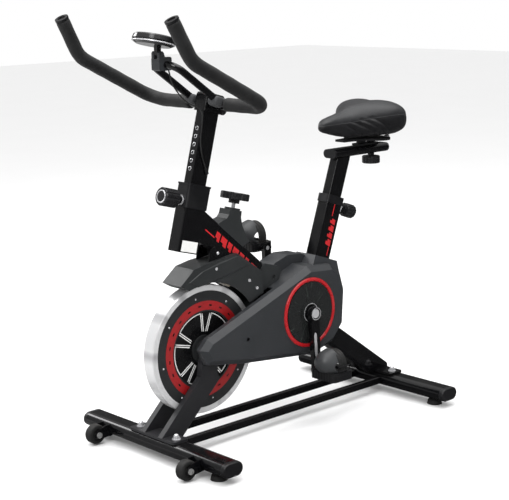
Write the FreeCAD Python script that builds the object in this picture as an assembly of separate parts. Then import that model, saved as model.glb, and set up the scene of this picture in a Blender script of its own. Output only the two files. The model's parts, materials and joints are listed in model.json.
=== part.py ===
import FreeCAD, Part
import math
import os

# Upright exercise bike. Millimetres. The rider faces -X, the rider's left is -Y, up is +Z.
# Side-view places are measured from the middle of the wheelbase and the floor.

V = FreeCAD.Vector
UP = V(0, 0, 1)
SIDE = V(0, 1, 0)

# ---- base ----
wheelbase = 788.0
stab_half = 266.0           # half length of a stabilizer tube, without its end caps
stab_deep = 62.0            # fore and aft
stab_high = 36.0
stab_mid_z = 36.0
stab_wall = 2.0
cap_out = 14.0
cap_plug = 22.0
foot_y = 226.0
foot_radius = 21.0
foot_high = 15.0
stud_radius = 5.0
rail_y = 48.0
rail_high = 20.0
rail_wide = 16.0
plate_thick = 6.0
plate_half_y = 88.0
plate_deep = 50.0
nut_y = 70.0
roller_ahead = 63.0         # roller axle ahead of the front stabilizer's middle
roller_x = -wheelbase / 2 - roller_ahead
roller_y = 181.0
roller_z = 28.0
roller_radius = 25.0
roller_wide = 24.0
roller_pin_radius = 4.0

# ---- flywheel ----
fly_x = -253.0
fly_z = 248.0
fly_radius = 165.0
fly_half = 19.0
fly_face_radius = 150.0
fly_hub_radius = 26.0
bearing_radius = 16.0
axle_radius = 7.5
axle_out = 65.0
leg_in = 26.0
leg_thick = 16.0
leg_wide = 54.0
small_pulley_radius = 22.0

# ---- crank ----
crank_x = 69.0
crank_z = 292.0
crank_length = 155.0
crank_lean = 3.0            # degrees that the left arm hangs behind straight down
crank_arm_in = 78.0
crank_arm_thick = 13.0
big_pulley_radius = 84.0
belt_mid_y = -53.0
belt_wide = 12.0
belt_thick = 3.0
belt_gap = 0.3
spindle_radius = 8.5
shell_half = 34.0
shell_radius = 24.0
pedal_wide = 88.0
pedal_deep = 74.0
pedal_high = 22.0
pedal_pin_radius = 6.0

# ---- frame tubes ----
head_x = -255.0
head_z = 655.0
head_tilt = 15.5
head_low = -160.0
head_deep = 66.0
head_wide = 44.0
head_pin_along = -34.0
collar_low = -50.0
tube_wall = 3.0
down_tilt = 130.5           # degrees from up, turning towards the rear
down_deep = 70.0
down_wide = 44.0
seat_x = 264.0
seat_z = 678.0
seat_tilt = 19.5
seat_deep = 58.0
seat_wide = 40.0
seat_top = -116.0
seat_low = -430.0
seat_pin_along = -134.0
rear_deep = 58.0
rear_wide = 50.0
slide_gap = 0.3

# ---- handlebar ----
post_deep = 50.0
post_wide = 30.0
post_low = -140.0
post_top = 190.0
bar_above_post = 22.0       # from the post's top to where the bar crosses
bar_along = post_top + bar_above_post
bar_radius = 12.7
bar_wall = 2.0
foam_radius = 17.0
elbow_y = 214.0
bend_x = -428.0
bend_z = 979.0
tip_x = -476.0
tip_y = 209.0
tip_z = 1070.0
loop_y = 46.0
loop_radius = 9.0
loop_x = -340.0
loop_z = 962.0
console_x = -367.0
console_z = 1008.0
console_half_x = 50.0
console_half_y = 55.0
console_high = 24.0
console_tilt = 14.0
cable_radius = 1.75

# ---- seat ----
seat_post_deep = 48.0
seat_post_wide = 30.0
slider_front = 222.0
slider_rear = 436.0
slider_wide = 46.0
slider_high = 24.0
slider_z = 690.0
bolt_x = 386.0
bolt_radius = 4.0
slot_half = 55.0
saddle_nose = 176.0
saddle_lobe_x = 388.0
saddle_lobe_y = 58.0
saddle_lobe_radius = 64.0
saddle_low = 724.0

# ---- covers ----
cover_out = 70.0
cover_bevel = 14.0
cover_wall = 3.0
ring_radius = 88.0
ring_section = 5.0
fender_half = 36.0
fender_gap = 7.0

# ---- resistance knob ----
brake_x = -144.0
brake_z = 535.0
brake_tilt = 14.8
brake_rod_radius = 5.0
brake_travel = 6.0


def cyl(radius, length, start, way):
    return Part.makeCylinder(radius, length, start, way)


def across(radius, x, z, low_y, high_y):
    return cyl(radius, high_y - low_y, V(x, low_y, z), SIDE)


def box(low_x, high_x, low_y, high_y, low_z, high_z):
    return Part.makeBox(high_x - low_x, high_y - low_y, high_z - low_z, V(low_x, low_y, low_z))


def leaned(shape, tilt, x, z):
    shape.rotate(V(0, 0, 0), SIDE, tilt)
    shape.translate(V(x, 0, z))
    return shape


def on_line(x, z, tilt, along, out=0.0, y=0.0):
    turn = math.radians(tilt)
    return V(
        x + along * math.sin(turn) + out * math.cos(turn),
        y,
        z + along * math.cos(turn) - out * math.sin(turn),
    )


def line_way(tilt):
    return on_line(0, 0, tilt, 1.0)


def block(deep, wide, low, high, corner=0.0):
    shape = box(-deep / 2, deep / 2, -wide / 2, wide / 2, low, high)
    if corner:
        shape = shape.makeFillet(corner, [e for e in shape.Edges if abs(e.tangentAt(0).z) > 0.99])
    return shape


def hollow(deep, wide, low, high, wall, corner):
    inner = block(deep - 2 * wall, wide - 2 * wall, low - 1, high + 1, corner - wall)
    return block(deep, wide, low, high, corner).cut(inner)


def side_face(points, y):
    corners = [V(x, y, z) for x, z in points]
    return Part.Face(Part.makePolygon(corners + corners[:1]))


def side_prism(points, low_y, high_y):
    return side_face(points, low_y).extrude(V(0, high_y - low_y, 0))


def inset(points, amount):
    # points run anticlockwise with x to the right and z up
    result = []
    count = len(points)
    for i in range(count):
        before = points[i - 1]
        here = points[i]
        after = points[(i + 1) % count]
        in_x, in_z = here[0] - before[0], here[1] - before[1]
        out_x, out_z = after[0] - here[0], after[1] - here[1]
        in_length = math.hypot(in_x, in_z)
        out_length = math.hypot(out_x, out_z)
        n1 = (-in_z / in_length, in_x / in_length)
        n2 = (-out_z / out_length, out_x / out_length)
        scale = amount / (1 + n1[0] * n2[0] + n1[1] * n2[1])
        result.append((here[0] + (n1[0] + n2[0]) * scale, here[1] + (n1[1] + n2[1]) * scale))
    return result


def bevelled(points, y_in, y_shoulder, y_out, bevel):
    low = min(y_in, y_shoulder)
    high = max(y_in, y_shoulder)
    body = side_prism(points, low, high)
    rims = []
    for outline, y in ((points, y_shoulder), (inset(points, bevel), y_out)):
        corners = [V(x, y, z) for x, z in outline]
        rims.append(Part.makePolygon(corners + corners[:1]))
    return body.fuse(Part.makeLoft(rims, True, True)).removeSplitter()


def route(points, radii):
    # straight runs joined by tangent arcs; radii has one value per inner point
    edges = []
    start = points[0]
    for i, radius in enumerate(radii):
        corner = points[i + 1]
        back = (points[i] - corner).normalize()
        ahead = (points[i + 2] - corner).normalize()
        half = back.getAngle(ahead) / 2
        reach = radius / math.tan(half)
        first = corner + back * reach
        last = corner + ahead * reach
        middle = corner + (back + ahead).normalize() * (radius / math.sin(half) - radius)
        edges.append(Part.LineSegment(start, first).toShape())
        edges.append(Part.Arc(first, middle, last).toShape())
        start = last
    edges.append(Part.LineSegment(start, points[-1]).toShape())
    return Part.Wire(edges)


def tube_along(path, radius):
    start = path.Edges[0]
    at = start.valueAt(start.FirstParameter)
    way = start.tangentAt(start.FirstParameter)
    ring = Part.Wire(Part.makeCircle(radius, at, way))
    return path.makePipeShell([ring], True, True)


def knurled(radius, length, start, way, ribs, rib_radius):
    body = cyl(radius, length, start, way)
    body = body.makeChamfer(min(2.0, length / 5), [e for e in body.Edges if len(e.Vertexes) == 1])
    aside = way.cross(SIDE) if abs(way.y) < 0.9 else way.cross(UP)
    aside.normalize()
    third = way.cross(aside)
    cuts = []
    for i in range(ribs):
        turn = 2 * math.pi * i / ribs
        centre = start + (aside * math.cos(turn) + third * math.sin(turn)) * (radius + rib_radius * 0.55)
        cuts.append(cyl(rib_radius, length, centre, way))
    return body.cut(Part.makeCompound(cuts))


def stadium(deep, high, length):
    # flat-oval section, deep along x and high along z, from y = -length/2 to length/2
    radius = high / 2
    flat = deep / 2 - radius
    middle = box(-flat, flat, -length / 2, length / 2, -radius, radius)
    shape = middle.fuse([across(radius, side, 0, -length / 2, length / 2) for side in (-flat, flat)])
    return shape.removeSplitter()


def at(shape, x, y, z):
    shape.translate(V(x, y, z))
    return shape


def both_sides(shape):
    return [shape, shape.mirror(V(0, 0, 0), SIDE)]


def all_of(shapes):
    return Part.makeCompound(shapes)


# ---------------------------------------------------------------- base

def stabilizer(x):
    outer = stadium(stab_deep, stab_high, 2 * stab_half)
    inner = stadium(stab_deep - 2 * stab_wall, stab_high - 2 * stab_wall, 2 * stab_half + 2)
    tube = at(outer.cut(inner), x, 0, stab_mid_z)
    for y in (-foot_y, foot_y):
        tube = tube.cut(cyl(stud_radius, stab_mid_z, V(x, y, 0), UP))
    return tube


def end_caps():
    shapes = []
    for x in (-wheelbase / 2, wheelbase / 2):
        lip = at(stadium(stab_deep, stab_high, cap_out), x, -stab_half - cap_out / 2, stab_mid_z)
        rim = [e for e in lip.Edges if abs(e.BoundBox.YMin + stab_half + cap_out) < 0.01
               and e.BoundBox.YLength < 0.01]
        lip = lip.makeFillet(5.0, rim)
        plug = stadium(stab_deep - 2 * stab_wall, stab_high - 2 * stab_wall, cap_plug)
        plug = at(plug, x, -stab_half + cap_plug / 2, stab_mid_z)
        shapes += both_sides(lip.fuse(plug).removeSplitter())
    return all_of(shapes)


def levelling_foot(x, y):
    pad = Part.makeCone(foot_radius, foot_radius - 3, foot_high - 4, V(x, y, 0), UP)
    top = cyl(foot_radius - 6, 3.5, V(x, y, foot_high - 4), UP)
    stud = cyl(stud_radius, 21.0, V(x, y, foot_high - 1), UP)
    return pad.fuse([top, stud]).removeSplitter()


def rail(y):
    bar = box(-wheelbase / 2, wheelbase / 2, y - rail_wide / 2, y + rail_wide / 2,
              stab_mid_z - rail_high / 2, stab_mid_z + rail_high / 2)
    bar = bar.makeFillet(3.0, [e for e in bar.Edges if abs(e.tangentAt(0).x) > 0.99])
    for x in (-wheelbase / 2, wheelbase / 2):
        bar = bar.cut(at(stadium(stab_deep, stab_high, 2 * stab_half), x, 0, stab_mid_z))
    return bar


def base_plate(x):
    top = stab_mid_z + stab_high / 2
    half = plate_deep / 2
    plate = box(x - half, x + half, -plate_half_y, plate_half_y, top, top + plate_thick)
    plate = plate.makeFillet(8.0, [e for e in plate.Edges if abs(e.tangentAt(0).z) > 0.99])
    return plate


def on_stabilizer(shape, x):
    # trims a leg to the plate and the oval tube that it is welded to
    below = box(x - 200, x + 200, -200, 200, -300, stab_mid_z + 13)
    oval = at(stadium(stab_deep, stab_high, 2 * stab_half), x, 0, stab_mid_z)
    return largest(shape.cut([below, base_plate(x), oval]))


def largest(shape):
    return sorted(shape.Solids, key=lambda solid: solid.Volume)[-1]


def dome_nuts(x):
    top = stab_mid_z + stab_high / 2 + plate_thick
    shapes = []
    for y in (-nut_y, nut_y):
        washer = cyl(11.0, 1.6, V(x, y, top), UP)
        hexagon = []
        for i in range(6):
            turn = math.radians(60 * i)
            hexagon.append(V(x + 8 * math.cos(turn), y + 8 * math.sin(turn), top + 1.6))
        nut = Part.Face(Part.makePolygon(hexagon + hexagon[:1])).extrude(V(0, 0, 6))
        dome = Part.makeSphere(6.5, V(x, y, top + 7.6), UP, 0, 90, 360)
        shapes.append(washer.fuse([nut, dome]).removeSplitter())
    return all_of(shapes)


def roller_bracket(side):
    front = -wheelbase / 2
    shapes = []
    for offset in (-roller_wide / 2 - 4.5, roller_wide / 2 + 1.5):
        y = side * roller_y + offset
        cheek = side_prism([
            (roller_x - 11, roller_z - 8), (roller_x + 8, roller_z - 12), (front, stab_mid_z - 14),
            (front, stab_mid_z + 14), (roller_x + 20, stab_mid_z + 12), (roller_x - 8, roller_z + 11),
        ], y, y + 3)
        cheek = cheek.cut(across(roller_pin_radius, roller_x, roller_z, y - 1, y + 4))
        shapes.append(cheek.cut(at(stadium(stab_deep, stab_high, 2 * stab_half), front, 0, stab_mid_z)))
    return all_of(shapes)


def roller_pin(side):
    y = side * roller_y
    half = roller_wide / 2 + 4.5
    pin = across(roller_pin_radius, roller_x, roller_z, y - half, y + half)
    heads = [across(7.5, roller_x, roller_z, y + start, y + start + 4) for start in (-half - 4, half)]
    return pin.fuse(heads).removeSplitter()


def roller(side):
    y = side * roller_y
    tyre = across(roller_radius, roller_x, roller_z, y - roller_wide / 2, y + roller_wide / 2)
    tyre = tyre.makeFillet(5.0, [e for e in tyre.Edges if len(e.Vertexes) == 1])
    for end in (-1, 1):
        low = y + end * roller_wide / 2 - 3
        dish = across(16.0, roller_x, roller_z, low, low + 6)
        tyre = tyre.cut(dish.cut(across(9.0, roller_x, roller_z, low - 1, low + 7)))
    return tyre.cut(across(roller_pin_radius + 0.08, roller_x, roller_z, y - 20, y + 20))


# ---------------------------------------------------------------- frame

def head_tube():
    shape = hollow(head_deep, head_wide, head_low, 0, tube_wall, 6.0)
    shape = leaned(shape, head_tilt, head_x, head_z)
    way = line_way(head_tilt + 90)
    return shape.cut(cyl(4.3, 60, on_line(head_x, head_z, head_tilt, head_pin_along, -80), way))


def head_collar():
    outer = block(head_deep + 5, head_wide + 5, collar_low, 10, 8.0)
    lip = block(head_deep + 8, head_wide + 8, 6, 10, 9.5)
    body = outer.fuse(lip).removeSplitter()
    body = body.cut(block(head_deep, head_wide, collar_low - 1, 0, 6.0))
    liner = block(head_deep - 2 * tube_wall, head_wide - 2 * tube_wall, collar_low, 1, 3.0)
    body = body.fuse(liner).removeSplitter()
    body = body.cut(block(post_deep + 2 * slide_gap, post_wide + 2 * slide_gap, -80, 20, 4.3))
    body = leaned(body, head_tilt, head_x, head_z)
    way = line_way(head_tilt + 90)
    return body.cut(cyl(4.3, 60, on_line(head_x, head_z, head_tilt, head_pin_along, -80), way))


def head_bush():
    body = block(head_deep - 2 * tube_wall, head_wide - 2 * tube_wall, head_low, head_low + 26, 3.0)
    body = body.cut(block(post_deep + 2 * slide_gap, post_wide + 2 * slide_gap, head_low - 1, 0, 4.3))
    return leaned(body, head_tilt, head_x, head_z)


def down_outer(grow=0.0):
    shape = block(down_deep + 2 * grow, down_wide + 2 * grow, 10, 520, 12.0 + grow)
    return leaned(shape, down_tilt - 180, crank_x, crank_z)


def head_outer():
    return leaned(block(head_deep, head_wide, head_low, 0, 6.0), head_tilt, head_x, head_z)


def head_sleeve():
    return leaned(block(head_deep + 5, head_wide + 5, collar_low, 10, 8.0), head_tilt, head_x, head_z)


def beyond_head():
    shape = block(400, 200, head_low - 200, 200)
    return leaned(at(shape, -200, 0, 0), head_tilt, head_x, head_z)


def bottom_shell():
    shell = across(shell_radius, crank_x, crank_z, -shell_half, shell_half)
    return shell.cut(across(shell_radius - 4, crank_x, crank_z, -shell_half - 1, shell_half + 1))


def shell_outer():
    return across(shell_radius, crank_x, crank_z, -shell_half, shell_half)


def brake_path(radius):
    return cyl(radius, 330, on_line(brake_x, brake_z, brake_tilt, -200), line_way(brake_tilt))


def down_tube():
    shape = down_outer().cut([head_outer(), head_sleeve(), beyond_head(), shell_outer(), seat_outer()])
    bore = block(down_deep - 2 * tube_wall, down_wide - 2 * tube_wall, 0, 600, 12.0 - tube_wall)
    shape = largest(shape).cut(leaned(bore, down_tilt - 180, crank_x, crank_z))
    return largest(shape.cut(brake_path(brake_rod_radius + 0.6)))


def seat_outer(grow=0.0):
    shape = block(seat_deep + 2 * grow, seat_wide + 2 * grow, seat_low, seat_top, 6.0 + grow)
    return leaned(shape, seat_tilt, seat_x, seat_z)


def seat_tube():
    shape = hollow(seat_deep, seat_wide, seat_low, seat_top, tube_wall, 6.0)
    shape = leaned(shape, seat_tilt, seat_x, seat_z)
    way = line_way(seat_tilt + 90)
    return shape.cut(cyl(4.3, 60, on_line(seat_x, seat_z, seat_tilt, seat_pin_along, 10), way))


def seat_collar():
    outer = block(seat_deep + 5, seat_wide + 5, seat_top - 14, seat_top + 8, 8.0)
    body = outer.cut(block(seat_deep, seat_wide, seat_top - 15, seat_top, 6.0))
    body = body.fuse(block(seat_deep - 2 * tube_wall, seat_wide - 2 * tube_wall,
                           seat_top - 24, seat_top + 1, 3.0)).removeSplitter()
    body = body.cut(block(seat_post_deep + 2 * slide_gap, seat_post_wide + 2 * slide_gap,
                          seat_top - 60, seat_top + 20, 4.3))
    body = leaned(body, seat_tilt, seat_x, seat_z)
    way = line_way(seat_tilt + 90)
    pin_way = cyl(4.3, 60, on_line(seat_x, seat_z, seat_tilt, seat_pin_along, 10), way)
    housing = cyl(11.3, 40, on_line(seat_x, seat_z, seat_tilt, seat_pin_along, seat_deep / 2), way)
    return body.cut([pin_way, housing])


rear_drop = wheelbase / 2 - 4 - crank_x
rear_fall = crank_z - (stab_mid_z + stab_high / 2 + plate_thick)
rear_tilt = math.degrees(math.atan2(rear_drop, -rear_fall))


def rear_leg():
    shape = leaned(block(rear_deep, rear_wide, 10, 460, 8.0), rear_tilt, crank_x, crank_z)
    past = box(wheelbase / 2 + stab_deep / 2, 900, -100, 100, -300, 300)
    shape = largest(shape.cut([shell_outer(), down_outer(), seat_outer(), past]))
    shape = on_stabilizer(shape, wheelbase / 2)
    bore = block(rear_deep - 2 * tube_wall, rear_wide - 2 * tube_wall, 0, 500, 8.0 - tube_wall)
    return largest(shape.cut(leaned(bore, rear_tilt, crank_x, crank_z)))


leg_low_x = -378.0
leg_rise = 45.9


def fork_leg(side):
    base_z = stab_mid_z + stab_high / 2 + plate_thick
    turn = math.radians(leg_rise)
    reach = 190.0
    low = (leg_low_x, base_z)
    high = (low[0] + reach * math.sin(turn), low[1] + reach * math.cos(turn))
    wide_x = leg_wide / 2 * math.cos(turn)
    wide_z = leg_wide / 2 * math.sin(turn)
    inner = side * leg_in
    outer = side * (leg_in + leg_thick)
    low_y, high_y = min(inner, outer), max(inner, outer)
    drop = 60 * math.sin(turn), 60 * math.cos(turn)
    strip = side_prism([
        (low[0] - wide_x - drop[0], low[1] + wide_z - drop[1]),
        (low[0] + wide_x - drop[0], low[1] - wide_z - drop[1]),
        (high[0] + wide_x, high[1] - wide_z),
        (high[0] - wide_x, high[1] + wide_z),
    ], low_y, high_y)
    eye = across(28.0, fly_x, fly_z, low_y, high_y)
    web = side_prism([
        (fly_x - 26, fly_z - 10), (fly_x - 34, fly_z - 60), (high[0] + 10, high[1] - 10), (fly_x + 26, fly_z + 8),
    ], low_y, high_y)
    stay = side_prism([
        (fly_x + 10, fly_z + 22), (fly_x + 10, fly_z - 24), (-84, 258), (-84, 290),
    ], low_y, high_y)
    shape = strip.fuse([eye, web, stay]).removeSplitter()
    shape = shape.cut(across(bearing_radius, fly_x, fly_z, -100, 100))
    return on_stabilizer(shape, -wheelbase / 2)


def fork_bridge():
    # ties both stays to the down tube behind the flywheel
    half = leg_in + leg_thick
    bar = box(-84, -40, -half, half, 258, 290)
    tie = side_prism([(-62, 258), (10, 258), (10, 300), (-62, 300)], -16, 16)
    return largest(bar.fuse(tie).removeSplitter().cut([down_outer(), shell_outer()]))


# ---------------------------------------------------------------- flywheel

def flywheel_rim():
    rim = across(fly_radius, fly_x, fly_z, -fly_half, fly_half)
    rim = rim.makeChamfer(2.0, [e for e in rim.Edges if len(e.Vertexes) == 1])
    rim = rim.cut(across(fly_face_radius - 6, fly_x, fly_z, -fly_half - 1, fly_half + 1))
    for low, high in ((-fly_half - 1, -fly_half + 5), (fly_half - 5, fly_half + 1)):
        rim = rim.cut(across(fly_face_radius, fly_x, fly_z, low, high))
    return rim


def flywheel_disc():
    web = across(fly_face_radius - 6, fly_x, fly_z, -fly_half + 2, fly_half - 2)
    for low, high in ((-fly_half + 1, -fly_half + 5), (fly_half - 5, fly_half - 1)):
        web = web.fuse(across(fly_face_radius, fly_x, fly_z, low, high))
    for low, high in ((-fly_half - 2, -fly_half + 6), (fly_half - 6, fly_half + 2)):
        recess = across(97.0, fly_x, fly_z, low, high)
        web = web.cut(recess.cut(across(36.0, fly_x, fly_z, low - 1, high + 1)))
    web = web.fuse(across(fly_hub_radius, fly_x, fly_z, -fly_half - 3, fly_half + 3)).removeSplitter()
    return web.cut(across(axle_radius, fly_x, fly_z, -60, 60))


def flywheel_bearings():
    shapes = []
    for low in (-leg_in - leg_thick, leg_in):
        ring = across(bearing_radius, fly_x, fly_z, low, low + leg_thick)
        shapes.append(ring.cut(across(axle_radius + 0.05, fly_x, fly_z, low - 1, low + leg_thick + 1)))
    return all_of(shapes)


def small_pulley():
    low = belt_mid_y - belt_wide / 2
    high = belt_mid_y + belt_wide / 2
    drum = across(small_pulley_radius, fly_x, fly_z, low, high)
    lips = [across(small_pulley_radius + 1.5, fly_x, fly_z, low - 2, low),
            across(small_pulley_radius + 1.5, fly_x, fly_z, high, high + 2)]
    return drum.fuse(lips).removeSplitter().cut(across(axle_radius, fly_x, fly_z, -90, 0))


def fly_axle():
    return across(axle_radius, fly_x, fly_z, -axle_out, leg_in + leg_thick + 14)


def axle_nut():
    low = leg_in + leg_thick + 0.5
    washer = across(15.0, fly_x, fly_z, low, low + 2)
    corners = []
    for i in range(6):
        turn = math.radians(60 * i)
        corners.append((fly_x + 12 * math.cos(turn), fly_z + 12 * math.sin(turn)))
    nut = side_prism(corners, low + 2, low + 11)
    return washer.fuse(nut).removeSplitter().cut(across(axle_radius, fly_x, fly_z, 0, 90))


# ---------------------------------------------------------------- crank

def crank_point(side, along):
    turn = math.radians(crank_lean)
    return crank_x - side * along * math.sin(turn), crank_z + side * along * math.cos(turn)


def crank_arm(side):
    pedal_x, pedal_z = crank_point(side, crank_length)
    low = crank_arm_in if side > 0 else -crank_arm_in - crank_arm_thick
    high = low + crank_arm_thick
    way = V(pedal_x - crank_x, 0, pedal_z - crank_z).normalize()
    flank = way.cross(SIDE)
    corners = []
    for along, half in ((0, 15), (crank_length, 11.5), (crank_length, -11.5), (0, -15)):
        corners.append(V(crank_x, low, crank_z) + way * along + flank * half)
    arm = Part.Face(Part.makePolygon(corners + corners[:1])).extrude(V(0, crank_arm_thick, 0))
    boss_low = low - 4 if side > 0 else low
    boss = across(18.0, crank_x, crank_z, boss_low, boss_low + crank_arm_thick + 4)
    end = across(13.5, pedal_x, pedal_z, low, high)
    arm = arm.fuse([boss, end]).removeSplitter()
    arm = arm.cut(across(spindle_radius, crank_x, crank_z, -120, 120))
    return arm.cut(across(pedal_pin_radius, pedal_x, pedal_z, -120, 120))


def crank_bolts():
    face = crank_arm_in + crank_arm_thick
    cap = across(spindle_radius, crank_x, crank_z, spindle_end, face)
    head = across(12.0, crank_x, crank_z, face, face + 3)
    return all_of(both_sides(cap.fuse(head).removeSplitter()))


spindle_end = crank_arm_in + crank_arm_thick - 4


def spindle():
    return across(spindle_radius, crank_x, crank_z, -spindle_end, spindle_end)


def shell_bearings():
    shapes = []
    for low in (-shell_half, shell_half - 10):
        ring = across(shell_radius - 4, crank_x, crank_z, low, low + 10)
        shapes.append(ring.cut(across(spindle_radius + 0.05, crank_x, crank_z, low - 1, low + 11)))
    return all_of(shapes)


def big_pulley():
    low = belt_mid_y - belt_wide / 2
    high = belt_mid_y + belt_wide / 2
    wheel = across(big_pulley_radius, crank_x, crank_z, low, high)
    for y in (low - 1, high - 3.5):
        dish = across(big_pulley_radius - 8, crank_x, crank_z, y, y + 4.5)
        wheel = wheel.cut(dish.cut(across(22.0, crank_x, crank_z, y - 1, y + 6)))
    for i in range(5):
        turn = math.radians(72 * i + 10)
        x = crank_x + 50 * math.cos(turn)
        z = crank_z + 50 * math.sin(turn)
        wheel = wheel.cut(across(16.0, x, z, low - 1, high + 1))
    hub = across(20.0, crank_x, crank_z, low - 2, high + 4)
    return wheel.fuse(hub).removeSplitter().cut(across(spindle_radius, crank_x, crank_z, -90, 0))


def belt_outline(grow):
    # both tangents of an open belt round the two pulleys, and the arcs between them
    r1 = small_pulley_radius + belt_gap + grow
    r2 = big_pulley_radius + belt_gap + grow
    gap_x = crank_x - fly_x
    gap_z = crank_z - fly_z
    span = math.hypot(gap_x, gap_z)
    base = math.atan2(gap_z, gap_x)
    lean = math.acos((r1 - r2) / span)
    low, high = belt_mid_y - belt_wide / 2 + 0.5, belt_mid_y + belt_wide / 2 - 0.5
    corners = []
    for turn in (base + lean, base - lean):
        first = (fly_x + r1 * math.cos(turn), fly_z + r1 * math.sin(turn))
        second = (crank_x + r2 * math.cos(turn), crank_z + r2 * math.sin(turn))
        corners.append((first, second))
    (a, b), (c, d) = corners
    middle = side_prism([a, c, d, b], low, high)
    rounds = [across(r1, fly_x, fly_z, low, high), across(r2, crank_x, crank_z, low, high)]
    return middle.fuse(rounds).removeSplitter()


def belt():
    return belt_outline(belt_thick).cut(belt_outline(0.0))


def pedal_place(side):
    x, z = crank_point(side, crank_length)
    face = crank_arm_in + crank_arm_thick
    return x, z, side * (face + 6 + pedal_wide / 2)


def pedal_body(side):
    x, z, y = pedal_place(side)
    half_x, half_y = pedal_deep / 2, pedal_wide / 2
    body = box(x - half_x, x + half_x, y - half_y, y + half_y, z - pedal_high / 2, z + pedal_high / 2)
    body = body.makeFillet(12.0, [e for e in body.Edges if abs(e.tangentAt(0).z) > 0.99])
    for end in (-1, 1):
        mid_x = x + end * 22
        body = body.cut(box(mid_x - 9, mid_x + 9, y - half_y + 14, y + half_y - 14, z - 40, z + 40))
    for end in (-1, 1):
        for i in range(7):
            notch_y = y - 30 + 10 * i
            notch = cyl(2.6, 60, V(x + end * (half_x + 0.8), notch_y, z - 30), UP)
            body = body.cut(notch)
    bore_low, bore_high = sorted((y - side * (half_y + 1), y + side * (half_y - 11)))
    return body.cut(across(pedal_pin_radius + 0.05, x, z, bore_low, bore_high))


def pedal_pin(side):
    x, z, y = pedal_place(side)
    near = side * (crank_arm_in + 1)
    far = y + side * (pedal_wide / 2 - 12)
    pin = across(pedal_pin_radius, x, z, min(near, far), max(near, far))
    collar_low = side * (crank_arm_in + crank_arm_thick)
    collar = across(9.0, x, z, min(collar_low, collar_low + side * 4), max(collar_low, collar_low + side * 4))
    return pin.fuse(collar).removeSplitter()


def toe_cage(side):
    x, z, y = pedal_place(side)
    top = z + pedal_high / 2
    front = x - pedal_deep / 2
    outline = [
        (front + 6, top), (front - 16, top + 10), (front - 24, top + 30), (front - 12, top + 50),
        (front + 12, top + 62), (front + 13, top + 59), (front - 9, top + 48), (front - 20.5, top + 30),
        (front - 13.5, top + 13), (front + 12, top),
    ]
    shape = side_prism(outline[::-1], y - 28, y + 28)
    return shape


def pedal_strap(side):
    x, z, y = pedal_place(side)
    top = z + pedal_high / 2
    radius = pedal_wide / 2 - 4
    rise = 14.0
    low_x = x - 11
    outer = cyl(radius, 30, V(low_x, y, top + rise), V(1, 0, 0))
    outer = outer.cut(box(low_x - 1, low_x + 31, y - 90, y + 90, top + rise - 90, top + rise))
    legs = box(low_x, low_x + 30, y - radius, y + radius, top, top + rise)
    inner = cyl(radius - 3, 32, V(low_x - 1, y, top + rise), V(1, 0, 0))
    inner = inner.fuse(box(low_x - 1, low_x + 31, y - radius + 3, y + radius - 3, top - 1, top + rise))
    return outer.fuse(legs).removeSplitter().cut(inner)


# ---------------------------------------------------------------- covers

cover_points = [
    (-278, 218), (-145, 196), (95, 171), (165, 192), (205, 235), (212, 330),
    (197, 378), (160, 406), (75, 413), (-275, 285), (-299, 260),
]
right_points = [
    (-70, 250), (-60, 186), (95, 171), (165, 192), (205, 235), (212, 330), (197, 378), (160, 406),
    (112, 434), (60, 438), (14, 424), (-26, 398), (-60, 357),
]


def frame_cuts(shape):
    leg = leaned(block(rear_deep + 2, rear_wide + 2, 10, 460, 9.0), rear_tilt, crank_x, crank_z)
    mouth = across(20.5, crank_x, crank_z, -120, 120)
    return largest(shape.cut([down_outer(1.0), seat_outer(1.0), leg, mouth]))


def left_cover():
    shoulder = -cover_out + cover_bevel
    outer = bevelled(cover_points, 0, shoulder, -cover_out, cover_bevel)
    inside = inset(cover_points, cover_wall)
    hollow_part = bevelled(inside, 1, shoulder, -cover_out + cover_wall, cover_bevel)
    shape = outer.cut(hollow_part)
    shape = shape.cut(box(-400, -36, -leg_in - leg_thick - 1, 10, 0, 600))
    shape = frame_cuts(shape)
    shape = shape.cut(across(5.0, -150, 262, -cover_out - 1, -50))
    return shape


def right_cover():
    shoulder = cover_out - cover_bevel
    outer = bevelled(right_points, 0.0, shoulder, cover_out, cover_bevel)
    inside = inset(right_points, cover_wall)
    hollow_part = bevelled(inside, cover_wall, shoulder, cover_out - cover_wall, cover_bevel)
    shape = outer.cut(hollow_part)
    shape = shape.cut(side_prism(inset(cover_points, cover_wall), -1, cover_wall + 1))
    shape = shape.cut(box(-400, -36, -10, leg_in + leg_thick + 1, 0, 600))
    return frame_cuts(shape)


def crank_disc():
    shape = across(ring_radius - 7, crank_x, crank_z, -cover_out - 3, -cover_out)
    shape = shape.fuse(across(34.0, crank_x, crank_z, -cover_out - 5, -cover_out - 3)).removeSplitter()
    shape = shape.cut(across(20.5, crank_x, crank_z, -120, 0))
    other = across(ring_radius - 7, crank_x, crank_z, cover_out, cover_out + 3)
    other = other.fuse(across(34.0, crank_x, crank_z, cover_out + 3, cover_out + 5)).removeSplitter()
    return all_of([shape, other.cut(across(20.5, crank_x, crank_z, 0, 120))])


def crank_ring():
    ring = Part.makeTorus(ring_radius, ring_section, V(crank_x, -cover_out, crank_z), SIDE)
    ring = ring.cut(box(-100, 300, -cover_out, -cover_out + 30, 0, 600))
    return all_of(both_sides(ring))


def tube_clip():
    # angular cap that carries the covers on the lower end of the down tube
    outline = [(-78, 340), (-18, 356), (10, 405), (-2, 423), (-50, 436), (-96, 372)]
    half = down_wide / 2 + 5
    shape = side_prism(outline, -half, half)
    holes = [across(5.5, -18, 396, y, y + 5) for y in (-half - 1, half - 4)]
    right = side_prism(inset(right_points, -0.5), -0.5, cover_out)
    left = side_prism(inset(cover_points, -0.5), -cover_out, 0.5)
    return largest(shape.cut([down_outer(), right, left, fender_outer(0.5)] + holes))


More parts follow.
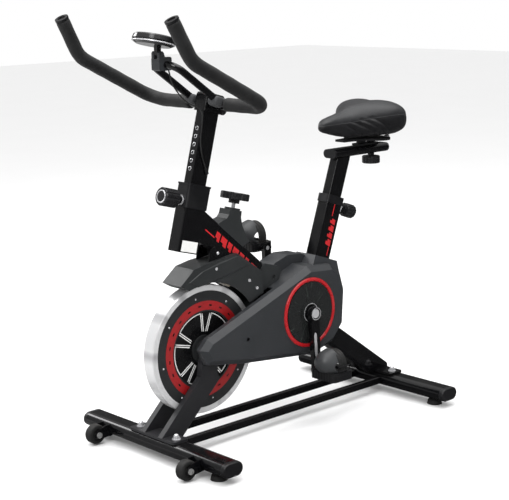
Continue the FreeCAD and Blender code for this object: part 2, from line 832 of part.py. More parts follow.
def seat_shroud():
    low = -318.0
    high = -277.0
    wide = Part.makePolygon([V(-62, -50, low), V(52, -50, low), V(52, 50, low), V(-62, 50, low), V(-62, -50, low)])
    slim = Part.makePolygon([V(-46, -36, high), V(40, -36, high), V(40, 36, high), V(-46, 36, high),
                             V(-46, -36, high)])
    shape = Part.makeLoft([wide, slim], True, True)
    shape = leaned(shape, seat_tilt, seat_x, seat_z)
    left = bevelled(cover_points, 0, -cover_out + cover_bevel, -cover_out, cover_bevel)
    right = bevelled(right_points, 0, cover_out - cover_bevel, cover_out, cover_bevel)
    return largest(shape.cut([seat_outer(), left, right]))


fender_points = [
    (-337, 426), (-300, 405), (-200, 390), (-120, 330), (-85, 314), (-62, 334), (-66, 420),
    (-150, 480), (-213, 472), (-250, 469), (-293, 461),
]


def fender_outer(grow=0.0):
    return side_prism(inset(fender_points, -grow), -fender_half - grow, fender_half + grow)


def fender():
    inner = side_prism(inset(fender_points, 3.0), -fender_half + 3, fender_half - 3)
    clear = across(fly_radius + fender_gap, fly_x, fly_z, -60, 60)
    left = side_prism(inset(cover_points, -1.0), -cover_out, 1)
    right = side_prism(inset(right_points, -1.0), -1, cover_out)
    return largest(fender_outer().cut([inner, clear, down_outer(0.5), brake_path(13.0), left, right]))


def fender_screws():
    shapes = []
    for x, z in ((-112, 404), (-86, 380), (-222, 452)):
        shapes += both_sides(across(4.0, x, z, -fender_half - 2, -fender_half))
    return all_of(shapes)


# ---------------------------------------------------------------- resistance knob

def brake_axis(along, out=0.0):
    return on_line(brake_x, brake_z, brake_tilt, along, out)


def brake_boss():
    outline = [(-198, 560), (-182, 566), (-168, 570), (-160, 579), (-155.5, 592), (-117.5, 582),
               (-120, 566), (-117, 545), (-108, 524), (-94, 500), (-140, 480)]
    body = side_prism(outline, -20, 20)
    top = cyl(20.0, 16, brake_axis(41, -1.5), line_way(brake_tilt))
    body = body.fuse(top).removeSplitter()
    return largest(body.cut([down_outer(), brake_path(brake_rod_radius + 0.6)]))


def brake_rod():
    rod = cyl(brake_rod_radius, 186, brake_axis(-112), line_way(brake_tilt))
    return rod


def brake_block():
    # pad holder under the down tube, with the curved felt below it
    holder = block(46, 26, -130, -112, 3.0)
    holder = leaned(holder, brake_tilt, brake_x, brake_z)
    keep = across(fly_radius + brake_travel + 10, fly_x, fly_z, -30, 30)
    return holder.cut(keep)


def brake_felt():
    felt = leaned(block(46, 24, -150, -112), brake_tilt, brake_x, brake_z)
    ring = across(fly_radius + brake_travel + 10, fly_x, fly_z, -30, 30)
    ring = ring.cut(across(fly_radius + brake_travel + 0.6, fly_x, fly_z, -31, 31))
    return felt.common(ring)


def brake_knob():
    way = line_way(brake_tilt)
    disc = knurled(37.0, 18, brake_axis(78), way, 10, 6.0)
    neck = cyl(14.0, 10, brake_axis(68.5), way)
    knob = disc.fuse(neck).removeSplitter()
    return knob.cut(cyl(brake_rod_radius + 0.05, 14.05, brake_axis(60), way))


# ---------------------------------------------------------------- pull-pin knobs

def pin_housing(x, z, tilt, along, face, outward, house):
    way = line_way(tilt + 90) * outward
    start = on_line(x, z, tilt, along, face * outward)
    body = cyl(11.0, house, start, way)
    return body.cut(cyl(4.05, 40, start - way * 5, way))


def pin_knob(x, z, tilt, along, face, outward, house, radius, length):
    way = line_way(tilt + 90) * outward
    start = on_line(x, z, tilt, along, (face + house + 1) * outward)
    neck = cyl(radius * 0.62, 7, start, way)
    grip = knurled(radius, length, start + way * 6, way, 12, 4.0)
    return neck.fuse(grip).removeSplitter()


def pull_pin(x, z, tilt, along, face, outward, house, tip):
    way = line_way(tilt + 90) * outward
    start = on_line(x, z, tilt, along, tip * outward)
    return cyl(4.0, face + house + 1 - tip, start, way)


# ---------------------------------------------------------------- handlebar

def head_axis(along, out=0.0, y=0.0):
    return on_line(head_x, head_z, head_tilt, along, out, y)


def post():
    shape = hollow(post_deep, post_wide, post_low, post_top, 2.0, 4.0)
    for i in range(7):
        along = head_pin_along + 20 * (i - 5)
        shape = shape.cut(cyl(4.6, 30, V(-post_deep / 2 - 10, 0, along), V(1, 0, 0)))
    return leaned(shape, head_tilt, head_x, head_z)


def stem_block():
    body = block(60, 46, post_top, post_top + 46, 8.0)
    body = body.makeFillet(6.0, [e for e in body.Edges if abs(e.BoundBox.ZMin - post_top - 46) < 0.01])
    body = leaned(body, head_tilt, head_x, head_z)
    middle = head_axis(bar_along)
    return body.cut(across(bar_radius, middle.x, middle.z, -60, 60))


def bar_points(side):
    middle = head_axis(bar_along)
    return [V(middle.x, side * elbow_y, middle.z), V(bend_x, side * elbow_y, bend_z),
            V(tip_x, side * tip_y, tip_z)]


def bar_route():
    left = bar_points(-1)
    right = bar_points(1)
    return route([left[2], left[1], left[0], right[0], right[1], right[2]], [70, 52, 52, 70])


def bar_tube():
    path = bar_route()
    return tube_along(path, bar_radius).cut(tube_along(path, bar_radius - bar_wall))


def grip(side):
    middle = head_axis(bar_along)
    elbow, bend, tip = bar_points(side)
    start = V(middle.x, side * 66, middle.z)
    end = tip + (bend - tip).normalize() * 1.0
    path = route([start, elbow, bend, end], [52, 70])
    return tube_along(path, foam_radius).cut(tube_along(path, bar_radius))


def grip_plugs():
    shapes = []
    for side in (-1, 1):
        elbow, bend, tip = bar_points(side)
        way = (tip - bend).normalize()
        cap = cyl(foam_radius, 5.0, tip, way)
        cap = cap.cut(cyl(bar_radius - 3, 6, tip + way * 2, way))
        stub = cyl(bar_radius - bar_wall, 16, tip - way * 15.9, way)
        shapes.append(cap.fuse(stub).removeSplitter())
    return all_of(shapes)


def bar_pads():
    middle = head_axis(bar_along)
    shapes = []
    for side in (-1, 1):
        low = min(side * 25, side * 64)
        pad = block(56, 39, -15, 17, 0)
        pad = at(pad, 0, (low + low + 39) / 2, 0)
        pad = pad.makeFillet(10.0, [e for e in pad.Edges if abs(e.tangentAt(0).y) > 0.99])
        pad.rotate(V(0, 0, 0), SIDE, 20)
        pad = at(pad, middle.x + 4, 0, middle.z)
        shapes.append(pad.cut(across(bar_radius, middle.x, middle.z, -90, 90)))
    return all_of(shapes).cut(loop_tube_outer())


def loop_route():
    middle = head_axis(bar_along)
    points = [V(middle.x, -loop_y, middle.z), V(loop_x, -loop_y, loop_z),
              V(loop_x, loop_y, loop_z), V(middle.x, loop_y, middle.z)]
    return route(points, [30, 30])


def loop_tube_outer():
    return tube_along(loop_route(), loop_radius)


def loop_tube():
    middle = head_axis(bar_along)
    shape = loop_tube_outer().cut(tube_along(loop_route(), loop_radius - 1.5))
    shape = shape.cut(across(bar_radius, middle.x, middle.z, -90, 90))
    return shape.cut(stem_outer())


def stem_outer():
    return leaned(block(60, 46, post_top, post_top + 46, 8.0), head_tilt, head_x, head_z)


pivot_x = loop_x - 14.0
pivot_z = loop_z + 26.0


def console_bracket():
    low = box(loop_x - 22, loop_x + 16, -15, 15, loop_z - 14, loop_z + 18)
    low = low.makeFillet(5.0, [e for e in low.Edges if abs(e.tangentAt(0).y) > 0.99])
    ears = side_prism([
        (pivot_x - 7, loop_z + 10), (pivot_x + 12, loop_z + 10), (pivot_x + 7, pivot_z + 2),
        (pivot_x + 3, pivot_z + 6), (pivot_x - 3, pivot_z + 6), (pivot_x - 7, pivot_z + 2),
    ], -15, 15)
    body = low.fuse(ears).removeSplitter()
    body = body.cut(box(pivot_x - 30, pivot_x + 40, -6.5, 6.5, loop_z + 14, pivot_z + 20))
    body = body.cut(across(3.0, pivot_x, pivot_z, -30, 30))
    return body.cut(across(loop_radius, loop_x, loop_z, -40, 40))


def pivot_pin():
    heads = both_sides(across(4.5, pivot_x, pivot_z, -17, -15))
    return across(3.0, pivot_x, pivot_z, -15, 15).fuse(heads).removeSplitter()


def dome(half_x, half_y, low, high, shoulder):
    rings = []
    for z, scale in ((low, 0.80), (low + 4, 0.94), (low + shoulder, 1.0), (high - 3, 0.95), (high, 0.86)):
        curve = Part.Ellipse(V(0, 0, z), half_y * scale, half_x * scale).toShape()
        curve.rotate(V(0, 0, 0), UP, 90)
        rings.append(Part.Wire(curve))
    return Part.makeLoft(rings, True, True)


def console_body():
    shape = dome(console_half_x, console_half_y, 0, console_high, 12)
    window = block(46, 62, console_high - 1.5, console_high + 5, 6.0)
    shape = shape.cut(at(window, -8, 0, 0))
    shape = shape.cut(cyl(7.4, 6, V(30, 0, console_high - 4), UP))
    shape.rotate(V(0, 0, 0), SIDE, console_tilt)
    shape = at(shape, console_x, 0, console_z)
    lug = side_prism([
        (pivot_x - 6, pivot_z - 3), (pivot_x - 3, pivot_z - 6), (pivot_x + 3, pivot_z - 6),
        (pivot_x + 6, pivot_z - 3), (pivot_x + 6, pivot_z + 22), (pivot_x - 6, pivot_z + 24),
    ], -6, 6)
    return shape.fuse(lug).removeSplitter().cut(across(3.05, pivot_x, pivot_z, -30, 30))


def console_screen():
    window = at(block(45.6, 61.6, console_high - 1.5, console_high - 0.2, 5.8), -8, 0, 0)
    window.rotate(V(0, 0, 0), SIDE, console_tilt)
    return at(window, console_x, 0, console_z)


def console_button():
    button = cyl(7.0, 5.0, V(30, 0, console_high - 2.6), UP)
    button.rotate(V(0, 0, 0), SIDE, console_tilt)
    return at(button, console_x, 0, console_z)


def clamp_knob():
    way = line_way(head_tilt + 90)
    start = head_axis(post_top + 14, 30.3)
    neck = cyl(6.0, 8, start, way)
    return neck.fuse(knurled(13.0, 14, start + way * 7, way, 8, 3.0)).removeSplitter()


cable_points = [
    V(loop_x + 10, -9.5, loop_z - 14), V(loop_x + 17, -12, loop_z - 48), V(loop_x + 45, -21, loop_z - 90),
    head_axis(190, -40, -28), head_axis(150, -31, -25), head_axis(112, -24, -20),
    head_axis(78, -8, -18.6), head_axis(52, 10, -18.5),
]


def cable_radii():
    radii = []
    for i in range(1, len(cable_points) - 1):
        before = cable_points[i - 1] - cable_points[i]
        after = cable_points[i + 1] - cable_points[i]
        half_turn = (math.pi - before.getAngle(after)) / 2
        radii.append(0.45 * min(before.Length, after.Length) / math.tan(half_turn))
    return radii


def cable():
    path = route(cable_points, cable_radii())
    shape = tube_along(path, cable_radius)
    ideal = math.pi * cable_radius ** 2 * path.Length
    print("cable length %.1f volume %.1f section x length %.1f" % (path.Length, shape.Volume, ideal))
    print("cable arc radii", [round(r, 1) for r in cable_radii()])
    return shape


def cable_grommet():
    end = cable_points[-1]
    way = (cable_points[-1] - cable_points[-2]).normalize()
    body = cyl(4.0, 14, end, way)
    return body.cut(leaned(block(post_deep, post_wide, 0, post_top, 4.0), head_tilt, head_x, head_z))


# ---------------------------------------------------------------- seat

def seat_post():
    shape = hollow(seat_post_deep, seat_post_wide, -330, 20, 2.0, 4.0)
    for i in range(7):
        along = seat_pin_along - 20 * i
        shape = shape.cut(cyl(4.6, 30, V(seat_post_deep / 2 - 15, 0, along), V(1, 0, 0)))
    shape = leaned(shape, seat_tilt, seat_x, seat_z)
    low = slider_z - slider_high / 2
    return shape.cut(box(0, 600, -60, 60, low, low + 100))


def slider_shape(wide, high, front, rear):
    radius = high / 2
    flat = wide / 2 - radius
    shape = box(front, rear, -flat, flat, slider_z - radius, slider_z + radius)
    for y in (-flat, flat):
        shape = shape.fuse(cyl(radius, rear - front, V(front, y, slider_z), V(1, 0, 0)))
    return shape.removeSplitter()


def slot_box(half_wide, grow):
    return box(bolt_x - slot_half - grow, bolt_x + 36 + grow, -half_wide, half_wide, 600, 760)


def slider():
    outer = slider_shape(slider_wide, slider_high, slider_front + 6, slider_rear - 6)
    inner = slider_shape(slider_wide - 5, slider_high - 5, slider_front, slider_rear)
    return outer.cut(inner).cut(slot_box(5.5, 0))


def slider_caps():
    shapes = []
    for front, rear, plug in ((slider_front, slider_front + 6, 14), (slider_rear - 6, slider_rear, -14)):
        lip = slider_shape(slider_wide, slider_high, front, rear)
        low, high = sorted((front if plug < 0 else rear, (front if plug < 0 else rear) + plug))
        stub = slider_shape(slider_wide - 5, slider_high - 5, low, high)
        shapes.append(lip.fuse(stub).removeSplitter().cut(slot_box(6.0, 1)))
    return all_of(shapes)


def saddle_carriage():
    top = slider_z + slider_high / 2 + slide_gap
    plate = box(bolt_x - 62, bolt_x + 16, -17, 17, top, top + 5)
    plate = plate.makeFillet(6.0, [e for e in plate.Edges if abs(e.tangentAt(0).z) > 0.99])
    stub = cyl(13.0, saddle_low - 6 - top - 5, V(bolt_x - 40, 0, top + 5), UP)
    body = plate.fuse(stub).removeSplitter()
    return body.cut(cyl(bolt_radius, 30, V(bolt_x, 0, top - 5), UP))


def saddle_bolt():
    top = slider_z + slider_high / 2 + slide_gap + 5
    shank = cyl(bolt_radius, 46, V(bolt_x, 0, top - 46), UP)
    head = cyl(8.0, 4, V(bolt_x, 0, top), UP)
    washer = cyl(12.0, 1.5, V(bolt_x, 0, top), UP)
    return shank.fuse([head, washer]).removeSplitter()


def saddle_knob():
    high = slider_z - slider_high / 2 - slide_gap
    neck = cyl(9.0, 10, V(bolt_x, 0, high - 10), UP)
    grip_part = knurled(25.0, 20, V(bolt_x, 0, high - 29), UP, 8, 5.5)
    knob = neck.fuse(grip_part).removeSplitter()
    return knob.cut(cyl(bolt_radius + 0.05, 60, V(bolt_x, 0, high - 30), UP))


def saddle_outline(z, scale, shift=0.0):
    middle = 340.0 + shift
    lobe_x = saddle_lobe_x
    reach = saddle_lobe_radius
    points = [(saddle_nose, 0), (saddle_nose + 6, 15), (saddle_nose + 26, 25), (saddle_nose + 74, 31),
              (saddle_nose + 118, 46), (lobe_x - 58, 82), (lobe_x - 26, saddle_lobe_y + reach * 0.88),
              (lobe_x + 12, saddle_lobe_y + reach * 0.97), (lobe_x + 45, saddle_lobe_y + reach * 0.62),
              (lobe_x + 62, saddle_lobe_y + 6), (lobe_x + 62, 22), (lobe_x + 55, 0)]
    mirrored = [(x, -y) for x, y in points[-2:0:-1]]
    ring = [V(middle + (x - middle) * scale, y * scale, z) for x, y in points + mirrored]
    curve = Part.BSplineCurve()
    curve.interpolate(ring, PeriodicFlag=True)
    return Part.Wire(curve.toShape())


def saddle_pad():
    levels = [(saddle_low, 0.80), (saddle_low + 12, 0.93), (saddle_low + 34, 1.0), (saddle_low + 62, 0.98),
              (saddle_low + 84, 0.90), (saddle_low + 97, 0.76), (saddle_low + 103, 0.55)]
    shape = Part.makeLoft([saddle_outline(z, scale) for z, scale in levels], True, True)
    # the top and the underside both fall away towards the nose
    top_cut = side_prism([(150, saddle_low + 40), (182, saddle_low + 56), (260, saddle_low + 74),
                          (330, saddle_low + 97), (330, 900), (150, 900)][::-1], -200, 200)
    low_cut = side_prism([(150, saddle_low - 10), (150, saddle_low + 26), (230, saddle_low + 16),
                          (310, saddle_low - 1), (310, saddle_low - 10)], -200, 200)
    return shape.cut(top_cut).cut(low_cut)


def saddle_pan():
    wire = saddle_outline(saddle_low - 6, 0.62)
    plate = Part.Face(wire).extrude(V(0, 0, 6))
    return plate.cut(box(0, 262, -100, 100, 600, 900))


# ---------------------------------------------------------------- all nodes

head_pin = (head_x, head_z, head_tilt, head_pin_along, head_deep / 2 + 2.5, -1, 12)
seat_pin = (seat_x, seat_z, seat_tilt, seat_pin_along, seat_deep / 2, 1, 22)


def frame():
    shapes = [head_tube(), down_tube(), bottom_shell(), fork_bridge(), seat_tube(), rear_leg(),
              base_plate(wheelbase / 2), pin_housing(*head_pin), pin_housing(*seat_pin)]
    return all_of(shapes)


def base_nodes():
    half = wheelbase / 2
    brackets = [roller_bracket(-1), roller_bracket(1)]
    feet = [levelling_foot(x, y) for x in (-half, half) for y in (-foot_y, foot_y)]
    return {
        "front_stabilizer": all_of([stabilizer(-half)] + brackets),
        "rear_stabilizer": stabilizer(half),
        "stabilizer_caps": end_caps(),
        "rubber_feet": all_of(feet),
        "rails": all_of([rail(-rail_y), rail(rail_y)]),
        "dome_nuts": all_of([dome_nuts(-half), dome_nuts(half)]),
        "roller_pins": all_of([roller_pin(-1), roller_pin(1)]),
        "roller_left": roller(-1),
        "roller_right": roller(1),
        "fork": all_of([fork_leg(-1), fork_leg(1), base_plate(-half)]),
        "frame": frame(),
        "tube_collars": all_of([head_collar(), head_bush(), seat_collar()]),
    }


def drive_nodes():
    return {
        "flywheel_bearings": flywheel_bearings(),
        "shell_bearings": shell_bearings(),
        "belt": belt(),
        "flywheel_rim": flywheel_rim(),
        "flywheel_disc": flywheel_disc(),
        "small_pulley": small_pulley(),
        "fly_axle": all_of([fly_axle(), axle_nut()]),
        "spindle": spindle(),
        "big_pulley": big_pulley(),
        "crank_left": crank_arm(-1),
        "crank_right": crank_arm(1),
        "crank_fasteners": all_of([crank_bolts(), pedal_pin(-1), pedal_pin(1)]),
        "pedal_left": pedal_body(-1),
        "pedal_right": pedal_body(1),
        "toe_clip_left": all_of([toe_cage(-1), pedal_strap(-1)]),
        "toe_clip_right": all_of([toe_cage(1), pedal_strap(1)]),
    }


def cover_nodes():
    return {
        "left_cover": left_cover(),
        "right_cover": right_cover(),
        "crank_disc": crank_disc(),
        "crank_ring": crank_ring(),
        "tube_clip": tube_clip(),
        "seat_shroud": seat_shroud(),
        "fender": fender(),
        "fender_screws": fender_screws(),
        "brake_boss": brake_boss(),
        "brake_rod": all_of([brake_rod(), brake_block()]),
        "brake_felt": brake_felt(),
        "brake_knob": brake_knob(),
        "head_pull_knob": all_of([pin_knob(*head_pin, 23.0, 44.0), pull_pin(*head_pin, post_deep / 2 + 0.4)]),
        "seat_pull_knob": all_of([pin_knob(*seat_pin, 19.0, 34.0), pull_pin(*seat_pin, seat_post_deep / 2 + 0.4)]),
    }


def rider_nodes():
    return {
        "handlebar_post": all_of([post(), stem_block()]),
        "handlebar": all_of([bar_tube(), loop_tube()]),
        "grips": all_of([grip(-1), grip(1)]),
        "grip_plugs": grip_plugs(),
        "bar_pads": bar_pads(),
        "console_bracket": all_of([console_bracket(), pivot_pin()]),
        "cable": cable(),
        "cable_grommet": cable_grommet(),
        "clamp_knob": clamp_knob(),
        "console_body": console_body(),
        "console_screen": console_screen(),
        "console_button": console_button(),
        "seat_post": all_of([seat_post(), slider()]),
        "slider_caps": slider_caps(),
        "saddle_carriage": all_of([saddle_carriage(), saddle_bolt()]),
        "saddle_knob": saddle_knob(),
        "saddle_pad": saddle_pad(),
        "saddle_pan": saddle_pan(),
    }


nodes = {**base_nodes(), **drive_nodes(), **cover_nodes(), **rider_nodes()}
whole = all_of(list(nodes.values())).optimalBoundingBox(False, False)
shift_x = -(whole.XMin + whole.XMax) / 2

os.makedirs("parts", exist_ok=True)
for name, shape in nodes.items():
    shape.translate(V(shift_x, 0, 0))
    shape.exportStep("parts/" + name + ".step")
    solids = shape.Solids
    print(name, len(solids), "solids", round(shape.Volume / 1000, 1), "cm3", shape.isValid())
print("shift", round(shift_x, 3), "size", round(whole.XLength), round(whole.YLength), round(whole.ZMax))
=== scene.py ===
import json
import math
import bmesh
import bpy
from mathutils import Matrix, Vector
from mathutils.bvhtree import BVHTree


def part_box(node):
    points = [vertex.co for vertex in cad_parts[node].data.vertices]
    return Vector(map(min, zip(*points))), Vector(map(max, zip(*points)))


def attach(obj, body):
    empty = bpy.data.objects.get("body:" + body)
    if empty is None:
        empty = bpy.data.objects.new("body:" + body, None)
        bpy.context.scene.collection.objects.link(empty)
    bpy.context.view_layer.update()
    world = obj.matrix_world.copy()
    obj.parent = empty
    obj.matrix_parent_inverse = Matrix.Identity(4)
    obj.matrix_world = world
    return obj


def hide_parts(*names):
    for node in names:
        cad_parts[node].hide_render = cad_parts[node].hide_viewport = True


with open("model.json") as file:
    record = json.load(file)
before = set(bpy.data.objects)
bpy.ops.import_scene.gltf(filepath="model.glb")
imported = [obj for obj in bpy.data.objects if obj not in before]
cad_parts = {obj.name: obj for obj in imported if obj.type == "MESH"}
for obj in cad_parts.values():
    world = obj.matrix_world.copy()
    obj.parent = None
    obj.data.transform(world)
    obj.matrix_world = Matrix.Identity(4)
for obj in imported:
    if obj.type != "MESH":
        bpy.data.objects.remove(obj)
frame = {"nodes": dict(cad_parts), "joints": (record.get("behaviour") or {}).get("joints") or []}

scene = bpy.context.scene
nodes = frame["nodes"]
pivots = {joint["name"]: Vector(joint["pos_m"]) for joint in frame["joints"] if "pos_m" in joint}
ways = {joint["name"]: Vector(joint["axis"]) for joint in frame["joints"]}
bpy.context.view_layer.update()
print("frame loaded,", len(nodes), "nodes")

# camera, floor and lights
shot = {
    "eye": (-2.292, -2.4727, 1.1584),
    "yaw": 0.739,
    "pitch": 0.203,
    "roll": -0.022,
    "lens": 93.5,
}


def aimCamera():
    yaw, pitch, roll = shot["yaw"], shot["pitch"], shot["roll"]
    forward = Vector((math.sin(yaw) * math.cos(pitch), math.cos(yaw) * math.cos(pitch), -math.sin(pitch)))
    level = forward.cross(Vector((0, 0, 1))).normalized()
    above = level.cross(forward)
    right = level * math.cos(roll) + above * math.sin(roll)
    up = above * math.cos(roll) - level * math.sin(roll)
    data = bpy.data.cameras.new("studioCamera")
    data.lens = shot["lens"]
    data.clip_end = 50
    camera = bpy.data.objects.new("studioCamera", data)
    scene.collection.objects.link(camera)
    turn = Matrix((right, up, -forward)).transposed().to_4x4()
    camera.matrix_world = Matrix.Translation(Vector(shot["eye"])) @ turn
    scene.camera = camera


aimCamera()
print("camera set")


# small helpers for node trees
def addNode(tree, kind, inputs=None, **settings):
    node = tree.nodes.new(kind)
    for name, value in settings.items():
        setattr(node, name, value)
    for name, value in (inputs or {}).items():
        node.inputs[name].default_value = value
    return node


def feed(tree, socket, value):
    if isinstance(value, bpy.types.NodeSocket):
        tree.links.new(value, socket)
    else:
        socket.default_value = value


def sums(tree, operation, first, second=0.0):
    node = addNode(tree, "ShaderNodeMath", operation=operation)
    feed(tree, node.inputs[0], first)
    feed(tree, node.inputs[1], second)
    return node.outputs[0]


def remap(tree, value, fromLow, fromHigh, toLow, toHigh):
    node = addNode(tree, "ShaderNodeMapRange", {
        "From Min": fromLow, "From Max": fromHigh, "To Min": toLow, "To Max": toHigh})
    tree.links.new(value, node.inputs["Value"])
    return node.outputs["Result"]


def blendColour(tree, mask, first, second):
    node = addNode(tree, "ShaderNodeMix", data_type="RGBA")
    feed(tree, node.inputs[0], mask)
    for socket, value in ((node.inputs[6], first), (node.inputs[7], second)):
        feed(tree, socket, value if isinstance(value, bpy.types.NodeSocket) else (*value, 1.0))
    return node.outputs[2]


def newShaderGroup(name, inputs, outputs):
    group = bpy.data.node_groups.new(name, "ShaderNodeTree")
    for label, value in inputs.items():
        socket = group.interface.new_socket(label, in_out="INPUT", socket_type="NodeSocketFloat")
        socket.default_value = value
    for label in outputs:
        group.interface.new_socket(label, in_out="OUTPUT", socket_type="NodeSocketFloat")
    return group, group.nodes.new("NodeGroupInput"), group.nodes.new("NodeGroupOutput")


# a texture node fed with a place, and a bump fed with a height
def addTexture(tree, kind, place, inputs=None, **settings):
    node = addNode(tree, kind, inputs, **settings)
    tree.links.new(place, node.inputs["Vector"])
    return node


def addBump(tree, shader, height, strength, distance):
    bump = addNode(tree, "ShaderNodeBump", {"Strength": strength, "Distance": distance})
    tree.links.new(height, bump.inputs["Height"])
    tree.links.new(bump.outputs["Normal"], shader.inputs["Normal"])


def objectPlace(tree):
    return addNode(tree, "ShaderNodeTexCoord").outputs["Object"]


# fine moulded or painted texture, as a height
def makeGrainGroup():
    group, given, result = newShaderGroup("finishGrain", {"Size": 0.0008, "Pebble": 0.5}, ["Height"])
    place = objectPlace(group)
    scale = sums(group, "DIVIDE", 1.0, given.outputs["Size"])
    speckle = addTexture(group, "ShaderNodeTexNoise", place, {"Detail": 3.0, "Roughness": 0.6})
    pebble = addTexture(group, "ShaderNodeTexVoronoi", place, {"Randomness": 0.9}, feature="SMOOTH_F1")
    for texture in (speckle, pebble):
        group.links.new(scale, texture.inputs["Scale"])
    mixed = addNode(group, "ShaderNodeMix", data_type="FLOAT")
    group.links.new(given.outputs["Pebble"], mixed.inputs[0])
    group.links.new(speckle.outputs[0], mixed.inputs[2])
    group.links.new(pebble.outputs["Distance"], mixed.inputs[3])
    group.links.new(mixed.outputs[0], result.inputs["Height"])
    return group


# where hands and feet rub a surface, and hairline scratches
def makeWearGroup():
    group, given, result = newShaderGroup("handlingWear", {"Patch": 14.0, "Scratch": 60.0}, ["Rub", "Scratch"])
    place = objectPlace(group)
    broad = addTexture(group, "ShaderNodeTexNoise", place, {"Detail": 5.0, "Roughness": 0.62})
    stretched = addTexture(group, "ShaderNodeMapping", place, {
        "Rotation": (0.5, 0.3, 0.9), "Scale": (1.0, 9.0, 14.0)})
    lines = addTexture(group, "ShaderNodeTexNoise", stretched.outputs[0], {"Detail": 2.0, "Distortion": 0.4})
    group.links.new(given.outputs["Patch"], broad.inputs["Scale"])
    group.links.new(given.outputs["Scratch"], lines.inputs["Scale"])
    group.links.new(remap(group, broad.outputs[0], 0.42, 0.68, 0.0, 1.0), result.inputs["Rub"])
    group.links.new(remap(group, lines.outputs[0], 0.66, 0.72, 0.0, 1.0), result.inputs["Scratch"])
    return group


# light dust on what faces up
def makeDustGroup():
    group, given, result = newShaderGroup("settledDust", {"Scale": 30.0}, ["Dust"])
    coords = addNode(group, "ShaderNodeTexCoord")
    height = addNode(group, "ShaderNodeSeparateXYZ")
    group.links.new(coords.outputs["Normal"], height.inputs[0])
    specks = addTexture(group, "ShaderNodeTexNoise", coords.outputs["Object"], {"Detail": 6.0, "Roughness": 0.7})
    group.links.new(given.outputs["Scale"], specks.inputs["Scale"])
    upward = remap(group, height.outputs["Z"], 0.55, 1.0, 0.0, 1.0)
    speckled = remap(group, specks.outputs[0], 0.4, 0.75, 0.0, 1.0)
    group.links.new(sums(group, "MULTIPLY", upward, speckled), result.inputs["Dust"])
    return group


# radius and angle round a wheel's axle, which runs along y
def makeWheelGroup():
    group, given, result = newShaderGroup("roundTheAxle", {"Axle X": 0.0, "Axle Z": 0.0},
                                          ["Radius", "Angle", "Across"])
    parts = addNode(group, "ShaderNodeSeparateXYZ")
    group.links.new(objectPlace(group), parts.inputs[0])
    besideX = sums(group, "SUBTRACT", parts.outputs["X"], given.outputs["Axle X"])
    besideZ = sums(group, "SUBTRACT", parts.outputs["Z"], given.outputs["Axle Z"])
    squareX, squareZ = (sums(group, "MULTIPLY", beside, beside) for beside in (besideX, besideZ))
    radius = sums(group, "SQRT", sums(group, "ADD", squareX, squareZ))
    group.links.new(radius, result.inputs["Radius"])
    group.links.new(sums(group, "ARCTAN2", besideZ, besideX), result.inputs["Angle"])
    group.links.new(parts.outputs["Y"], result.inputs["Across"])
    return group


shared = {
    "grain": makeGrainGroup(),
    "wear": makeWearGroup(),
    "dust": makeDustGroup(),
    "wheel": makeWheelGroup(),
}


def useGroup(tree, which, values=None):
    node = addNode(tree, "ShaderNodeGroup", node_tree=shared[which])
    for label, value in (values or {}).items():
        node.inputs[label].default_value = value
    return node


def startFinish(name):
    material = bpy.data.materials.new(name)
    material.use_nodes = True
    tree = material.node_tree
    return material, tree, tree.nodes["Principled BSDF"]


# what a finish has where its own entry in the table is silent
usualLook = {
    "patch": 14.0, "scratchScale": 60.0, "pebble": 0.4, "rub": 0.5, "scratch": 0.15, "dust": 0.12,
    "marked": (0.35, 0.35, 0.35), "dusty": (0.32, 0.30, 0.28), "bump": 0.3, "deep": 0.0003,
    "metal": 0.0, "coat": 0.0, "coatRough": 0.1, "specular": 0.5,
}


# one finish: its colour, how far wear and dust change it, and its surface texture
def makeFinish(name, ownLook):
    look = {**usualLook, **ownLook}
    material, tree, shader = startFinish(name)
    wear = useGroup(tree, "wear", {"Patch": look["patch"], "Scratch": look["scratchScale"]})
    dust = useGroup(tree, "dust")
    grain = useGroup(tree, "grain", {"Size": look["grain"], "Pebble": look["pebble"]})
    rub = sums(tree, "MULTIPLY", wear.outputs["Rub"], look["rub"])
    marks = sums(tree, "MULTIPLY", wear.outputs["Scratch"], look["scratch"])
    film = sums(tree, "MULTIPLY", dust.outputs["Dust"], look["dust"])
    colour = look["colour"]
    for mask, change in ((rub, "rubbed"), (marks, "marked"), (film, "dusty")):
        colour = blendColour(tree, mask, colour, look[change])
    tree.links.new(colour, shader.inputs["Base Color"])
    rough = remap(tree, wear.outputs["Rub"], 0.0, 1.0, *look["rough"])
    for change, share in ((film, 0.8), (marks, 0.3)):
        rough = sums(tree, "ADD", rough, sums(tree, "MULTIPLY", change, share))
    tree.links.new(rough, shader.inputs["Roughness"])
    addBump(tree, shader, grain.outputs["Height"], look["bump"], look["deep"])
    for socket, key in (("Metallic", "metal"), ("Coat Weight", "coat"), ("Coat Roughness", "coatRough"),
                        ("Specular IOR Level", "specular")):
        shader.inputs[socket].default_value = look[key]
    if "sheen" in look:
        shader.inputs["Sheen Weight"].default_value = look["sheen"]
        shader.inputs["Sheen Roughness"].default_value = 0.5
    return material


